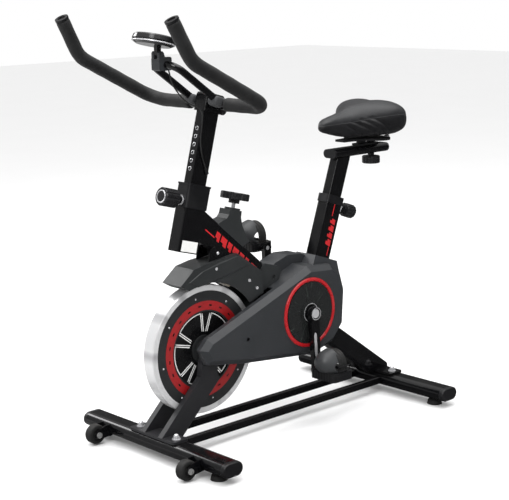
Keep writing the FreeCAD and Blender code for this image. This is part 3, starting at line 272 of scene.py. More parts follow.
finishes = {
    "glossPaint": {"colour": (0.0025, 0.0025, 0.0030), "rubbed": (0.005, 0.005, 0.0055), "rough": (0.12, 0.22),
                   "grain": 0.0030, "bump": 0.035, "coat": 0.25, "coatRough": 0.05, "dust": 0.02, "scratch": 0.02,
                   "specular": 0.35},
    "greyShell": {"colour": (0.026, 0.028, 0.031), "rubbed": (0.034, 0.036, 0.040), "rough": (0.34, 0.46),
                  "grain": 0.0009, "bump": 0.25, "dust": 0.07, "scratch": 0.04, "patch": 9.0},
    "fenderShell": {"colour": (0.020, 0.022, 0.023), "rubbed": (0.027, 0.029, 0.030), "rough": (0.34, 0.46),
                    "grain": 0.0009, "bump": 0.25, "dust": 0.06, "scratch": 0.04, "patch": 9.0},
    "legPaint": {"colour": (0.016, 0.016, 0.018), "rubbed": (0.022, 0.022, 0.025), "rough": (0.30, 0.44),
                 "grain": 0.0011, "bump": 0.2, "dust": 0.05, "scratch": 0.04},
    "blackPlastic": {"colour": (0.006, 0.006, 0.007), "rubbed": (0.013, 0.013, 0.014), "rough": (0.30, 0.45),
                     "grain": 0.0008, "bump": 0.3, "dust": 0.05, "scratch": 0.04, "specular": 0.4},
    "knobPlastic": {"colour": (0.009, 0.009, 0.010), "rubbed": (0.022, 0.022, 0.024), "rough": (0.26, 0.40),
                    "grain": 0.0012, "bump": 0.35, "dust": 0.06, "scratch": 0.04, "patch": 40.0},
    "redPlastic": {"colour": (0.36, 0.006, 0.010), "rubbed": (0.44, 0.015, 0.020), "rough": (0.22, 0.34),
                   "grain": 0.0010, "bump": 0.15, "dust": 0.05, "scratch": 0.05, "marked": (0.7, 0.25, 0.25)},
    "redPrint": {"colour": (0.52, 0.006, 0.010), "rubbed": (0.38, 0.005, 0.008), "rough": (0.28, 0.4),
                 "grain": 0.0006, "bump": 0.1, "dust": 0.03, "scratch": 0.10, "marked": (0.05, 0.01, 0.01)},
    "whitePrint": {"colour": (0.80, 0.80, 0.79), "rubbed": (0.66, 0.66, 0.65), "rough": (0.30, 0.45),
                   "grain": 0.0006, "bump": 0.1, "dust": 0.04, "scratch": 0.08, "marked": (0.3, 0.3, 0.3)},
    "labelPaper": {"colour": (0.74, 0.74, 0.72), "rubbed": (0.62, 0.61, 0.59), "rough": (0.45, 0.6),
                   "grain": 0.0005, "bump": 0.2, "dust": 0.1, "scratch": 0.05, "patch": 60.0},
    "chrome": {"colour": (0.80, 0.80, 0.82), "rubbed": (0.66, 0.66, 0.68), "rough": (0.07, 0.2), "metal": 0.6,
               "grain": 0.0012, "bump": 0.05, "dust": 0.05, "scratch": 0.12, "patch": 60.0},
    "zincPlate": {"colour": (0.50, 0.50, 0.50), "rubbed": (0.36, 0.36, 0.35), "rough": (0.24, 0.42), "metal": 0.7,
                  "grain": 0.0010, "bump": 0.15, "dust": 0.08, "scratch": 0.15, "patch": 80.0},
    "bandRed": {"colour": (0.30, 0.006, 0.008), "rubbed": (0.20, 0.006, 0.007), "rough": (0.34, 0.46),
                "grain": 0.0010, "bump": 0.2, "dust": 0.03, "scratch": 0.08, "marked": (0.04, 0.01, 0.01)},
    "wheelPlastic": {"colour": (0.018, 0.019, 0.020), "rubbed": (0.026, 0.027, 0.028), "rough": (0.38, 0.52),
                     "grain": 0.0009, "bump": 0.3, "dust": 0.06, "scratch": 0.05},
    "wheelBlack": {"colour": (0.004, 0.004, 0.0045), "rubbed": (0.009, 0.009, 0.010), "rough": (0.24, 0.36),
                   "grain": 0.0009, "bump": 0.2, "dust": 0.04, "scratch": 0.05},
    "rubber": {"colour": (0.007, 0.007, 0.007), "rubbed": (0.018, 0.0175, 0.017), "rough": (0.62, 0.82),
               "grain": 0.0014, "bump": 0.5, "deep": 0.0005, "dust": 0.16, "pebble": 0.7, "scratch": 0.03},
    "gripFoam": {"colour": (0.006, 0.006, 0.0065), "rubbed": (0.010, 0.010, 0.0105), "rough": (0.60, 0.78),
                 "grain": 0.0013, "bump": 0.75, "deep": 0.0007, "pebble": 0.8, "dust": 0.06, "scratch": 0.0,
                 "sheen": 0.06, "patch": 22.0},
    "padFoam": {"colour": (0.032, 0.033, 0.036), "rubbed": (0.044, 0.045, 0.048), "rough": (0.58, 0.76),
                "grain": 0.0015, "bump": 0.7, "deep": 0.0007, "pebble": 0.8, "dust": 0.06, "scratch": 0.0,
                "sheen": 0.06, "patch": 30.0},
    "beltRubber": {"colour": (0.014, 0.014, 0.014), "rubbed": (0.03, 0.03, 0.03), "rough": (0.6, 0.8),
                   "grain": 0.0012, "bump": 0.5, "pebble": 0.6},
    "feltPad": {"colour": (0.30, 0.26, 0.20), "rubbed": (0.20, 0.17, 0.13), "rough": (0.85, 0.95),
                "grain": 0.0007, "bump": 0.9, "deep": 0.0006, "pebble": 0.2, "sheen": 0.5, "scratch": 0.0},
    "cableSheath": {"colour": (0.012, 0.012, 0.012), "rubbed": (0.026, 0.026, 0.026), "rough": (0.35, 0.5),
                    "grain": 0.0007, "bump": 0.2, "dust": 0.04},
    "seamThread": {"colour": (0.030, 0.030, 0.033), "rubbed": (0.05, 0.05, 0.054), "rough": (0.6, 0.75),
                   "grain": 0.0004, "bump": 0.6, "scratch": 0.0},
    "consoleGloss": {"colour": (0.003, 0.003, 0.0035), "rubbed": (0.006, 0.006, 0.0065), "rough": (0.10, 0.18),
                     "grain": 0.0020, "bump": 0.05, "coat": 0.6, "coatRough": 0.05, "dust": 0.04, "scratch": 0.03},
    "toeCupPlastic": {"colour": (0.034, 0.036, 0.038), "rubbed": (0.044, 0.046, 0.049), "rough": (0.34, 0.5),
                      "grain": 0.0010, "bump": 0.3, "dust": 0.06, "scratch": 0.05},
    "buttonPlastic": {"colour": (0.16, 0.012, 0.012), "rubbed": (0.22, 0.03, 0.03), "rough": (0.3, 0.45),
                      "grain": 0.0006, "bump": 0.3},
}
finish = {name: makeFinish(name, look) for name, look in finishes.items()}


# turned and polished rim, with the lathe's lines running round it, and dark streaks painted round it by angle as
# painted reflection
def makeRimSteel(look):
    material, tree, shader = startFinish("turnedRim")
    wheel = useGroup(tree, "wheel", {"Axle X": look["axle"].x, "Axle Z": look["axle"].z})
    spot = addNode(tree, "ShaderNodeCombineXYZ")
    for socket, source, share in (("X", "Radius", look["lines"]), ("Y", "Across", look["lines"]),
                                  ("Z", "Angle", 0.8)):
        tree.links.new(sums(tree, "MULTIPLY", wheel.outputs[source], share), spot.inputs[socket])
    lathe = addTexture(tree, "ShaderNodeTexNoise", spot.outputs[0], {"Scale": 1.0, "Detail": 4.0})
    around = addNode(tree, "ShaderNodeCombineXYZ")
    tree.links.new(sums(tree, "COSINE", wheel.outputs["Angle"]), around.inputs["X"])
    tree.links.new(sums(tree, "SINE", wheel.outputs["Angle"]), around.inputs["Y"])
    # dark bands by angle round the axle blend the bright colour towards dark: painted reflection of the
    # surroundings in the polished rim
    reflectionBands = addTexture(tree, "ShaderNodeTexNoise", around.outputs[0], {"Scale": 2.6, "Detail": 1.5})
    reflectionStreak = remap(tree, reflectionBands.outputs[0], 0.55, 0.72, 0.0, look["reflectionStreak"])
    tree.links.new(blendColour(tree, reflectionStreak, look["bright"], look["dark"]), shader.inputs["Base Color"])
    tree.links.new(remap(tree, lathe.outputs[0], 0.3, 0.7, *look["rough"]), shader.inputs["Roughness"])
    addBump(tree, shader, lathe.outputs[0], 0.12, 0.0002)
    shader.inputs["Metallic"].default_value = look["metal"]
    return material


# dark disc round the crank, with faint rays in its roughness, and lighter rays painted into its colour as painted
# glints
def makeRayDisc(look):
    material, tree, shader = startFinish("rayDisc")
    wheel = useGroup(tree, "wheel", {"Axle X": look["axle"].x, "Axle Z": look["axle"].z})
    spread = addNode(tree, "ShaderNodeCombineXYZ")
    tree.links.new(sums(tree, "MULTIPLY", wheel.outputs["Angle"], look["rays"]), spread.inputs["X"])
    tree.links.new(sums(tree, "MULTIPLY", wheel.outputs["Radius"], look["rayLength"]), spread.inputs["Y"])
    rays = addTexture(tree, "ShaderNodeTexNoise", spread.outputs[0], {"Scale": 1.0, "Detail": 2.0})
    # lighter colour along the rays is a painted glint, a painted highlight on the disc
    paintedGlint = remap(tree, rays.outputs[0], 0.60, 0.74, 0.0, 1.0)
    tree.links.new(blendColour(tree, paintedGlint, look["colour"], look["paintedGlint"]), shader.inputs["Base Color"])
    tree.links.new(remap(tree, rays.outputs[0], 0.3, 0.8, *look["rough"]), shader.inputs["Roughness"])
    rings = sums(tree, "SINE", sums(tree, "MULTIPLY", wheel.outputs["Radius"], look["rings"]))
    addBump(tree, shader, rings, 0.10, 0.0002)
    shader.inputs["Coat Weight"].default_value = look["coat"]
    return material


# stretched vinyl: fine creased grain with painted shade in its valleys, and a slow change of tone where it is
# pulled tight
def makeLeatherette(name, look):
    material, tree, shader = startFinish(name)
    place = objectPlace(tree)
    cells = addTexture(tree, "ShaderNodeTexVoronoi", place, {"Scale": look["cells"]}, feature="DISTANCE_TO_EDGE")
    fine = addTexture(tree, "ShaderNodeTexNoise", place, {"Scale": look["cells"] * 2.4, "Detail": 3.0})
    slow = addTexture(tree, "ShaderNodeTexNoise", place, {"Scale": 16.0, "Detail": 4.0, "Roughness": 0.6})
    groove = remap(tree, cells.outputs["Distance"], 0.0, 0.25, 0.0, 1.0)
    tone = remap(tree, slow.outputs[0], 0.35, 0.68, 0.0, 1.0)
    colour = blendColour(tree, tone, look["colour"], look["stretched"])
    # the grain's valleys are blended towards a darker colour: painted shade in the grain
    colour = blendColour(tree, remap(tree, groove, 0.0, 0.5, 0.4, 0.0), colour, look["groove"])
    tree.links.new(colour, shader.inputs["Base Color"])
    tree.links.new(remap(tree, slow.outputs[0], 0.3, 0.7, *look["rough"]), shader.inputs["Roughness"])
    height = sums(tree, "ADD", groove, sums(tree, "MULTIPLY", fine.outputs[0], 0.5))
    addBump(tree, shader, height, look["bump"], 0.0003)
    shader.inputs["Sheen Weight"].default_value = 0.03
    shader.inputs["Specular IOR Level"].default_value = 0.45
    return material


# liquid crystal window: grey-green, with a faint grid
def makeScreen(look):
    material, tree, shader = startFinish("lcdWindow")
    place = objectPlace(tree)
    haze = addTexture(tree, "ShaderNodeTexNoise", place, {"Scale": 60.0, "Detail": 3.0})
    cells = addTexture(tree, "ShaderNodeTexBrick", place, {
        "Scale": 700.0, "Mortar Size": 0.08, "Color1": (1, 1, 1, 1), "Color2": (0.9, 0.9, 0.9, 1),
        "Mortar": (0.7, 0.7, 0.7, 1)})
    colour = blendColour(tree, haze.outputs[0], look["colour"], look["haze"])
    gridMask = remap(tree, cells.outputs["Fac"], 0.0, 1.0, 0.0, 0.4)
    tree.links.new(blendColour(tree, gridMask, colour, look["grid"]), shader.inputs["Base Color"])
    tree.links.new(remap(tree, haze.outputs[0], 0.3, 0.7, *look["rough"]), shader.inputs["Roughness"])
    addBump(tree, shader, haze.outputs[0], 0.05, 0.0001)
    shader.inputs["Coat Weight"].default_value = look["coat"]
    return material


flyAxle = pivots["flywheel_spin"]
crankAxle = pivots["crank_spin"]
# the rim's dark colour and streak amount set the painted reflection streaks in its colour
finish["turnedRim"] = makeRimSteel({"axle": flyAxle, "lines": 2600.0, "reflectionStreak": 0.75, "rough": (0.12, 0.26),
                                    "bright": (0.80, 0.80, 0.81), "dark": (0.10, 0.10, 0.11), "metal": 0.45})
# the disc's glint colour is a painted highlight along its rays
finish["rayDisc"] = makeRayDisc({"axle": crankAxle, "rays": 7.0, "rayLength": 14.0, "rings": 2600.0, "coat": 0.35,
                                 "rough": (0.30, 0.14), "colour": (0.012, 0.013, 0.013),
                                 "paintedGlint": (0.045, 0.058, 0.050)})
# one vinyl in two copies: the top copy is lighter as painted light on the top, the side copy darker as painted
# shade on the sides
skins = {
    "saddleLitTop": {"cells": 620.0, "colour": (0.014, 0.014, 0.0155), "stretched": (0.025, 0.026, 0.028),
                  "groove": (0.008, 0.008, 0.009), "bump": 0.32, "rough": (0.36, 0.48)},
    "saddleShadedSide": {"cells": 620.0, "colour": (0.0055, 0.0055, 0.0065), "stretched": (0.011, 0.011, 0.0125),
                   "groove": (0.003, 0.003, 0.0035), "bump": 0.30, "rough": (0.30, 0.42)},
}
for skinName, skinLook in skins.items():
    finish[skinName] = makeLeatherette(skinName, skinLook)
finish["lcdWindow"] = makeScreen({"colour": (0.20, 0.22, 0.19), "haze": (0.26, 0.28, 0.24),
                                  "grid": (0.05, 0.06, 0.05), "rough": (0.08, 0.2), "coat": 0.5})
print("finishes made,", len(finish))

nodeFinish = {
    "glossPaint": ["front_stabilizer", "rear_stabilizer", "rails", "frame", "handlebar_post", "handlebar",
                   "seat_post", "crank_left", "crank_right"],
    "greyShell": ["left_cover", "right_cover", "seat_shroud", "console_bracket"],
    "legPaint": ["fork"],
    "fenderShell": ["fender", "brake_boss", "tube_clip"],
    "blackPlastic": ["stabilizer_caps", "tube_collars", "grip_plugs", "slider_caps", "saddle_carriage",
                     "saddle_pan", "cable_grommet", "pedal_left", "pedal_right", "big_pulley", "small_pulley"],
    "knobPlastic": ["brake_knob", "head_pull_knob", "seat_pull_knob", "saddle_knob", "clamp_knob"],
    "chrome": ["dome_nuts", "fender_screws", "crank_fasteners", "brake_rod"],
    "zincPlate": ["roller_pins", "flywheel_bearings", "shell_bearings", "fly_axle", "spindle"],
    "turnedRim": ["flywheel_rim"],
    "wheelPlastic": ["flywheel_disc"],
    "rayDisc": ["crank_disc"],
    "redPlastic": ["crank_ring"],
    "rubber": ["rubber_feet", "roller_left", "roller_right"],
    "beltRubber": ["belt"],
    "feltPad": ["brake_felt"],
    "cableSheath": ["cable"],
    "consoleGloss": ["console_body"],
    "lcdWindow": ["console_screen"],
    "buttonPlastic": ["console_button"],
    "padFoam": ["bar_pads"],
    "gripFoam": ["grips"],
    "saddleShadedSide": ["saddle_pad"],
    "toeCupPlastic": ["toe_clip_left", "toe_clip_right"],
}
for finishName, members in nodeFinish.items():
    for member in members:
        slots = nodes[member].data.materials
        if len(slots) == 0:
            slots.append(finish[finishName])
        for index in range(len(slots)):
            slots[index] = finish[finishName]
print("frame pieces finished")


# mesh helpers
def finishMesh(bm, name, sharpAngle=35.0):
    bmesh.ops.remove_doubles(bm, verts=bm.verts, dist=0.00001)
    bmesh.ops.recalc_face_normals(bm, faces=bm.faces)
    mesh = bpy.data.meshes.new(name)
    bm.to_mesh(mesh)
    bm.free()
    mesh.shade_smooth()
    mesh.set_sharp_from_angle(angle=math.radians(sharpAngle))
    return mesh


def newPiece(name, mesh, look, body, standsFor=()):
    if look is not None:
        mesh.materials.clear()
        mesh.materials.append(finish[look])
    piece = bpy.data.objects.new(name, mesh)
    scene.collection.objects.link(piece)
    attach(piece, body)
    if standsFor:
        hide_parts(*standsFor)
    return piece


# a thin band between two rows of points on a face that looks along y
def addBand(bm, inner, outer, nearY, farY, closed=False):
    count = len(inner)
    rows = []
    for row, y in ((inner, nearY), (outer, nearY), (outer, farY), (inner, farY)):
        rows.append([bm.verts.new((x, y, z)) for x, z in row])
    for i in range(count if closed else count - 1):
        j = (i + 1) % count
        for k in range(4):
            a, b = rows[k], rows[(k + 1) % 4]
            bm.faces.new((a[i], a[j], b[j], b[i]))
    if not closed:
        bm.faces.new([row[0] for row in rows])
        bm.faces.new([row[-1] for row in rows][::-1])


def arcPoints(centre, radius, start, end, steps):
    turns = [math.radians(start + (end - start) * i / steps) for i in range(steps + 1)]
    return [(centre.x + radius * math.cos(t), centre.z + radius * math.sin(t)) for t in turns]


# a tube or strip that follows a path; section gives (aside, above) pairs at each point of the path
def addSweep(bm, path, section, above=Vector((0, 0, 1)), closed=False, capped=True):
    rings = []
    count = len(path)
    for i, point in enumerate(path):
        before = path[i - 1] if (i > 0 or closed) else point
        after = path[(i + 1) % count] if (i < count - 1 or closed) else point
        way = (after - before).normalized()
        upward = (above(i) if callable(above) else above)
        upward = (upward - way * upward.dot(way)).normalized()
        aside = way.cross(upward)
        rings.append([bm.verts.new(point + aside * a + upward * b) for a, b in section(i / max(1, count - 1))])
    size = len(rings[0])
    for i in range(count if closed else count - 1):
        first, second = rings[i], rings[(i + 1) % count]
        for j in range(size):
            k = (j + 1) % size
            bm.faces.new((first[j], first[k], second[k], second[j]))
    if capped and not closed:
        bm.faces.new(rings[0][::-1])
        bm.faces.new(rings[-1])


def roundSection(radius, sides=16):
    return lambda t: [(radius * math.cos(2 * math.pi * i / sides), radius * math.sin(2 * math.pi * i / sides))
                      for i in range(sides)]


# straight runs with rounded corners, sampled finely enough for a swept piece
def bentPath(points, radii, step=0.006):
    path = [points[0].copy()]
    for i, radius in enumerate(radii):
        corner = points[i + 1]
        back = (points[i] - corner).normalized()
        ahead = (points[i + 2] - corner).normalized()
        half = back.angle(ahead) / 2
        reach = radius / math.tan(half)
        middle = corner + (back + ahead).normalized() * (radius / math.sin(half))
        first = corner + back * reach
        last = corner + ahead * reach
        addRun(path, first, step)
        arm = first - middle
        axis = arm.cross(last - middle).normalized()
        total = arm.angle(last - middle)
        steps = max(3, math.ceil(total * radius / step))
        for k in range(1, steps + 1):
            path.append(middle + Matrix.Rotation(total * k / steps, 3, axis) @ arm)
    addRun(path, points[-1], step)
    return path


def addRun(path, end, step):
    start = path[-1]
    steps = max(1, math.ceil((end - start).length / step))
    for k in range(1, steps + 1):
        path.append(start.lerp(end, k / steps))


# repeated parts are placed by these three trees
def newTree(name, inputs):
    tree = bpy.data.node_groups.new(name, "GeometryNodeTree")
    for label, kind in inputs:
        tree.interface.new_socket(label, in_out="INPUT", socket_type=kind)
    tree.interface.new_socket("Geometry", in_out="OUTPUT", socket_type="NodeSocketGeometry")
    return tree, tree.nodes.new("NodeGroupInput"), tree.nodes.new("NodeGroupOutput")


def closeTree(tree, given, result, instances):
    real = addNode(tree, "GeometryNodeRealizeInstances")
    painted = addNode(tree, "GeometryNodeSetMaterial")
    tree.links.new(instances, real.inputs[0])
    tree.links.new(real.outputs[0], painted.inputs["Geometry"])
    tree.links.new(given.outputs["Material"], painted.inputs["Material"])
    tree.links.new(painted.outputs[0], result.inputs[0])


def givenShape(tree, given, label):
    info = addNode(tree, "GeometryNodeObjectInfo")
    tree.links.new(given.outputs[label], info.inputs["Object"])
    return info.outputs["Geometry"]


def placeParts(tree, given, points):
    placed = addNode(tree, "GeometryNodeInstanceOnPoints")
    tree.links.new(points, placed.inputs["Points"])
    tree.links.new(givenShape(tree, given, "Part"), placed.inputs["Instance"])
    return placed


def makeRingTree():
    tree, given, result = newTree("partsRoundAnAxle", [
        ("Part", "NodeSocketObject"), ("Count", "NodeSocketInt"), ("Radius", "NodeSocketFloat"),
        ("Turn", "NodeSocketFloat"), ("Centre", "NodeSocketVector"), ("Material", "NodeSocketMaterial")])
    circle = addNode(tree, "GeometryNodeMeshCircle")
    tree.links.new(given.outputs["Count"], circle.inputs["Vertices"])
    tree.links.new(given.outputs["Radius"], circle.inputs["Radius"])
    upright = addNode(tree, "GeometryNodeTransform", {"Rotation": (math.pi / 2, 0, 0)})
    tree.links.new(circle.outputs[0], upright.inputs["Geometry"])
    placed = placeParts(tree, given, upright.outputs[0])
    share = sums(tree, "DIVIDE", -2 * math.pi, given.outputs["Count"])
    index = addNode(tree, "GeometryNodeInputIndex").outputs[0]
    moved = addNode(tree, "GeometryNodeTransform")
    for angle, socket in ((sums(tree, "MULTIPLY", index, share), placed.inputs["Rotation"]),
                          (sums(tree, "MULTIPLY", given.outputs["Turn"], -1.0), moved.inputs["Rotation"])):
        turned = addNode(tree, "ShaderNodeCombineXYZ")
        tree.links.new(angle, turned.inputs["Y"])
        tree.links.new(turned.outputs[0], socket)
    tree.links.new(placed.outputs[0], moved.inputs["Geometry"])
    tree.links.new(given.outputs["Centre"], moved.inputs["Translation"])
    closeTree(tree, given, result, moved.outputs[0])
    return tree


def makePathTree():
    tree, given, result = newTree("partsAlongAPath", [
        ("Path", "NodeSocketObject"), ("Part", "NodeSocketObject"), ("Spacing", "NodeSocketFloat"),
        ("Material", "NodeSocketMaterial")])
    line = addNode(tree, "GeometryNodeMeshToCurve")
    tree.links.new(givenShape(tree, given, "Path"), line.inputs["Mesh"])
    spots = addNode(tree, "GeometryNodeCurveToPoints", mode="LENGTH")
    tree.links.new(line.outputs[0], spots.inputs["Curve"])
    tree.links.new(given.outputs["Spacing"], spots.inputs["Length"])
    placed = placeParts(tree, given, spots.outputs["Points"])
    tree.links.new(spots.outputs["Rotation"], placed.inputs["Rotation"])
    closeTree(tree, given, result, placed.outputs[0])
    return tree


def makeSpotTree():
    tree, given, result = newTree("partsOnPoints", [
        ("Path", "NodeSocketObject"), ("Part", "NodeSocketObject"), ("Material", "NodeSocketMaterial")])
    placed = placeParts(tree, given, givenShape(tree, given, "Path"))
    closeTree(tree, given, result, placed.outputs[0])
    return tree


trees = {"ring": makeRingTree(), "path": makePathTree(), "spots": makeSpotTree()}


def looseObject(name, mesh):
    loose = bpy.data.objects.new(name, mesh)
    scene.collection.objects.link(loose)
    return loose


def bakeTree(which, name, values):
    tree = trees[which]
    holder = looseObject(name + "Holder", bpy.data.meshes.new(name + "Holder"))
    modifier = holder.modifiers.new("build", "NODES")
    modifier.node_group = tree
    for item in tree.interface.items_tree:
        if item.item_type == "SOCKET" and item.in_out == "INPUT" and item.name in values:
            modifier[item.identifier] = values[item.name]
    bpy.context.view_layer.update()
    graph = bpy.context.evaluated_depsgraph_get()
    mesh = bpy.data.meshes.new_from_object(holder.evaluated_get(graph), depsgraph=graph)
    mesh.name = name
    holder.modifiers.remove(modifier)
    bpy.data.objects.remove(holder)
    for value in values.values():
        if isinstance(value, bpy.types.Object):
            bpy.data.objects.remove(value)
    return mesh


# a screw or bolt head: a domed cap with a cross or socket recess, its axis along y towards -y
def domeHead(radius, height, recess=0.45, sides=20):
    bm = bmesh.new()
    profile = [(0.0, -height * 0.55), (radius * recess, -height * 0.55), (radius * recess, -height * 0.95),
               (radius * 0.72, -height * 0.90), (radius * 0.93, -height * 0.55),
               (radius, -height * 0.15), (radius, 0.0)]
    previous = None
    for r, y in profile:
        ring = [bm.verts.new((r * math.cos(2 * math.pi * i / sides), y, r * math.sin(2 * math.pi * i / sides)))
                for i in range(sides)] if r > 0 else [bm.verts.new((0, y, 0))]
        if previous is not None:
            for i in range(sides):
                j = (i + 1) % sides
                if len(previous) == 1:
                    bm.faces.new((previous[0], ring[i], ring[j]))
                else:
                    bm.faces.new((previous[i], previous[j], ring[j], ring[i]))
        previous = ring
    bm.faces.new(previous[::-1])
    return bm


def mirroredY(bm):
    copy = bmesh.ops.duplicate(bm, geom=bm.verts[:] + bm.edges[:] + bm.faces[:])
    for vert in [item for item in copy["geom"] if isinstance(item, bmesh.types.BMVert)]:
        vert.co.y = -vert.co.y
    bmesh.ops.reverse_faces(bm, faces=[item for item in copy["geom"] if isinstance(item, bmesh.types.BMFace)])


# flywheel: printed band and spokes, small screws
wheelPrint = {
    "faceY": 0.01805, "floorY": 0.01305, "thick": 0.00035, "proud": 0.0002,
    "band": (0.101, 0.124), "floor": (0.0368, 0.0966), "floorThick": 0.0003,
    "spokes": 5, "spokeTurn": 82.0, "spokeInner": 0.045, "spokeOuter": 0.091, "spokeSpread": 15.0,
    "lineStart": 0.0022, "lineWide": 0.0023, "lineGap": 0.0050, "arc": (0.0910, 0.0935),
    "screws": 8, "screwRing": 0.134, "screwTurn": 10.0, "screwRadius": 0.0024, "screwHigh": 0.0016,
    "dashes": 20, "dashRing": 0.1125, "dashTurn": math.degrees(0.1),
    "dash": ([(-0.0022, -0.0042), (-0.0016, 0.0046)], [(0.0016, -0.0046), (0.0022, 0.0040)]),
}


def bothFaces(nearY, thick):
    return ((-nearY - thick, -nearY), (nearY, nearY + thick))


def addFlatRing(bm, centre, reach, nearY, thick, steps):
    inner, outer = (arcPoints(centre, radius, 0, 360, steps)[:-1] for radius in reach)
    for near, far in bothFaces(nearY, thick):
        addBand(bm, inner, outer, near, far, closed=True)


def newRingPiece(name, bm, count, radius, turn, look):
    part = looseObject(name + "Part", finishMesh(bm, name + "Part"))
    mesh = bakeTree("ring", name, {
        "Part": part, "Count": count, "Radius": radius, "Turn": math.radians(turn),
        "Centre": (flyAxle.x, 0, flyAxle.z), "Material": finish[look]})
    newPiece(name, mesh, None, "flywheel")


def makeWheelPrint():
    plan = wheelPrint
    bm = bmesh.new()
    addFlatRing(bm, flyAxle, plan["band"], plan["faceY"], plan["thick"], 120)
    newPiece("wheel_red_band", finishMesh(bm, "wheel_red_band"), "bandRed", "flywheel")

    # the recess floor is black, with pale double lines for spokes
    bm = bmesh.new()
    addFlatRing(bm, flyAxle, plan["floor"], plan["floorY"] - plan["proud"], plan["floorThick"], 96)
    newPiece("wheel_dark_floor", finishMesh(bm, "wheel_dark_floor"), "wheelBlack", "flywheel")

    bm = bmesh.new()
    spread = math.radians(plan["spokeSpread"]) / 2 * plan["spokeOuter"]
    run = plan["spokeOuter"] - plan["spokeInner"]
    for side in (-1, 1):
        for offset in (0.0, plan["lineGap"]):
            start = side * (plan["lineStart"] + offset)
            end = side * (spread + offset)
            wide = side * plan["lineWide"]
            for near, far in bothFaces(plan["floorY"] + plan["proud"], plan["thick"]):
                addBand(bm, [(0.0, start), (run, end)], [(0.0, start + wide), (run, end + wide)], near, far)
    newRingPiece("wheel_spoke_marks", bm, plan["spokes"], plan["spokeInner"], plan["spokeTurn"], "whitePrint")

    bm = bmesh.new()
    share = 360.0 / plan["spokes"]
    mouth = math.degrees((spread + plan["lineGap"]) / plan["spokeOuter"])
    for i in range(plan["spokes"]):
        start = plan["spokeTurn"] + share * i + mouth
        end = plan["spokeTurn"] + share * (i + 1) - mouth
        inner, outer = (arcPoints(flyAxle, radius, start, end, 16) for radius in plan["arc"])
        for near, far in bothFaces(plan["floorY"] + plan["proud"], plan["thick"]):
            addBand(bm, inner, outer, near, far)
    newPiece("wheel_spoke_arcs", finishMesh(bm, "wheel_spoke_arcs"), "whitePrint", "flywheel")

    # short dark dashes in the red band
    bm = bmesh.new()
    for near, far in bothFaces(plan["faceY"] + plan["thick"], plan["proud"]):
        addBand(bm, *plan["dash"], near, far)
    newRingPiece("wheel_band_dashes", bm, plan["dashes"], plan["dashRing"], plan["dashTurn"], "wheelBlack")

    bm = domeHead(plan["screwRadius"], plan["screwHigh"])
    bmesh.ops.translate(bm, verts=bm.verts, vec=(0, plan["proud"] - plan["faceY"], 0))
    mirroredY(bm)
    newRingPiece("wheel_screws", bm, plan["screws"], plan["screwRing"], plan["screwTurn"], "chrome")


makeWheelPrint()
print("flywheel dressed")


# tubes: where they lean, and the printed stripes on their sides
def alongTube(foot, lean, along, out, y):
    return Vector((foot.x + along * math.sin(lean) + out * math.cos(lean), y,
                   foot.z + along * math.cos(lean) - out * math.sin(lean)))


barLow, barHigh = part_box("handlebar")
seatLow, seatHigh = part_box("seat_post")
tubes = {
    "bar": {"radius": 0.0127, "crossAlong": 0.212},
    "head": {"lean": math.radians(15.5), "halfWide": 0.022},
    "down": {"lean": math.radians(130.5 - 180.0), "halfWide": 0.022},
    "seat": {"lean": math.radians(19.5), "halfWide": 0.020},
}
barCross = Vector((barHigh.x - tubes["bar"]["radius"], 0, barLow.z + tubes["bar"]["radius"]))
headLean = tubes["head"]["lean"]
headFoot = barCross - Vector((math.sin(headLean), 0, math.cos(headLean))) * tubes["bar"]["crossAlong"]
seatFoot = Vector((seatHigh.x - 0.166, 0, seatHigh.z - 0.024))

printing = {
    "thick": 0.0003,
    "down": {"stripe": (0.190, 0.405), "mid": 0.004, "wide": 0.0032, "high": 0.0105, "slant": 0.006,
             "blocks": [(0.226, 0.014), (0.246, 0.018), (0.270, 0.022), (0.298, 0.016), (0.320, 0.022),
                        (0.348, 0.016)]},
    "seat": {"stripe": (-0.270, -0.128), "mid": 0.006, "wide": 0.0028, "high": 0.0095, "slant": -0.005,
             "blocks": [(-0.240, 0.017), (-0.219, 0.014), (-0.201, 0.016), (-0.181, 0.014)]},
    "label": {"along": (-0.157, -0.130), "out": (-0.026, 0.024)},
}


def addTubePrint(bm, foot, lean, y, thick, corners):
    layers = []
    for level in (y, y + math.copysign(thick, y)):
        layers.append([bm.verts.new(alongTube(foot, lean, a, o, level)) for a, o in corners])
    bm.faces.new(layers[0])
    bm.faces.new(layers[1][::-1])
    count = len(corners)
    for i in range(count):
        j = (i + 1) % count
        bm.faces.new((layers[0][i], layers[0][j], layers[1][j], layers[1][i]))


def makeTubePrint(name, foot, tube, plan):
    bm = bmesh.new()
    start, end = plan["stripe"]
    first = min(at for at, size in plan["blocks"]) - 0.006
    last = max(at + size for at, size in plan["blocks"]) + 0.004
    half = plan["wide"] / 2
    for side in (-1, 1):
        y = side * (tube["halfWide"] + 0.00005)
        for low, high, shift in ((start, first, plan["high"] * 0.7), (last, end, -plan["high"] * 0.7)):
            middle = plan["mid"] + shift
            addTubePrint(bm, foot, tube["lean"], y, printing["thick"],
                         [(low, middle - half), (high, middle - half), (high, middle + half), (low, middle + half)])
        for at, size in plan["blocks"]:
            bottom, top = plan["mid"] - plan["high"], plan["mid"] + plan["high"]
            slant = plan["slant"]
            # each mark is a slanted block with a notch, so that it reads as print and not as a letter
            addTubePrint(bm, foot, tube["lean"], y, printing["thick"], [
                (at, bottom), (at + size * 0.55, bottom), (at + size * 0.55 + slant * 0.4, bottom + 0.006),
                (at + size + slant * 0.4, bottom + 0.006), (at + size + slant, top), (at + slant, top)])
    newPiece(name, finishMesh(bm, name), "redPrint", "base")


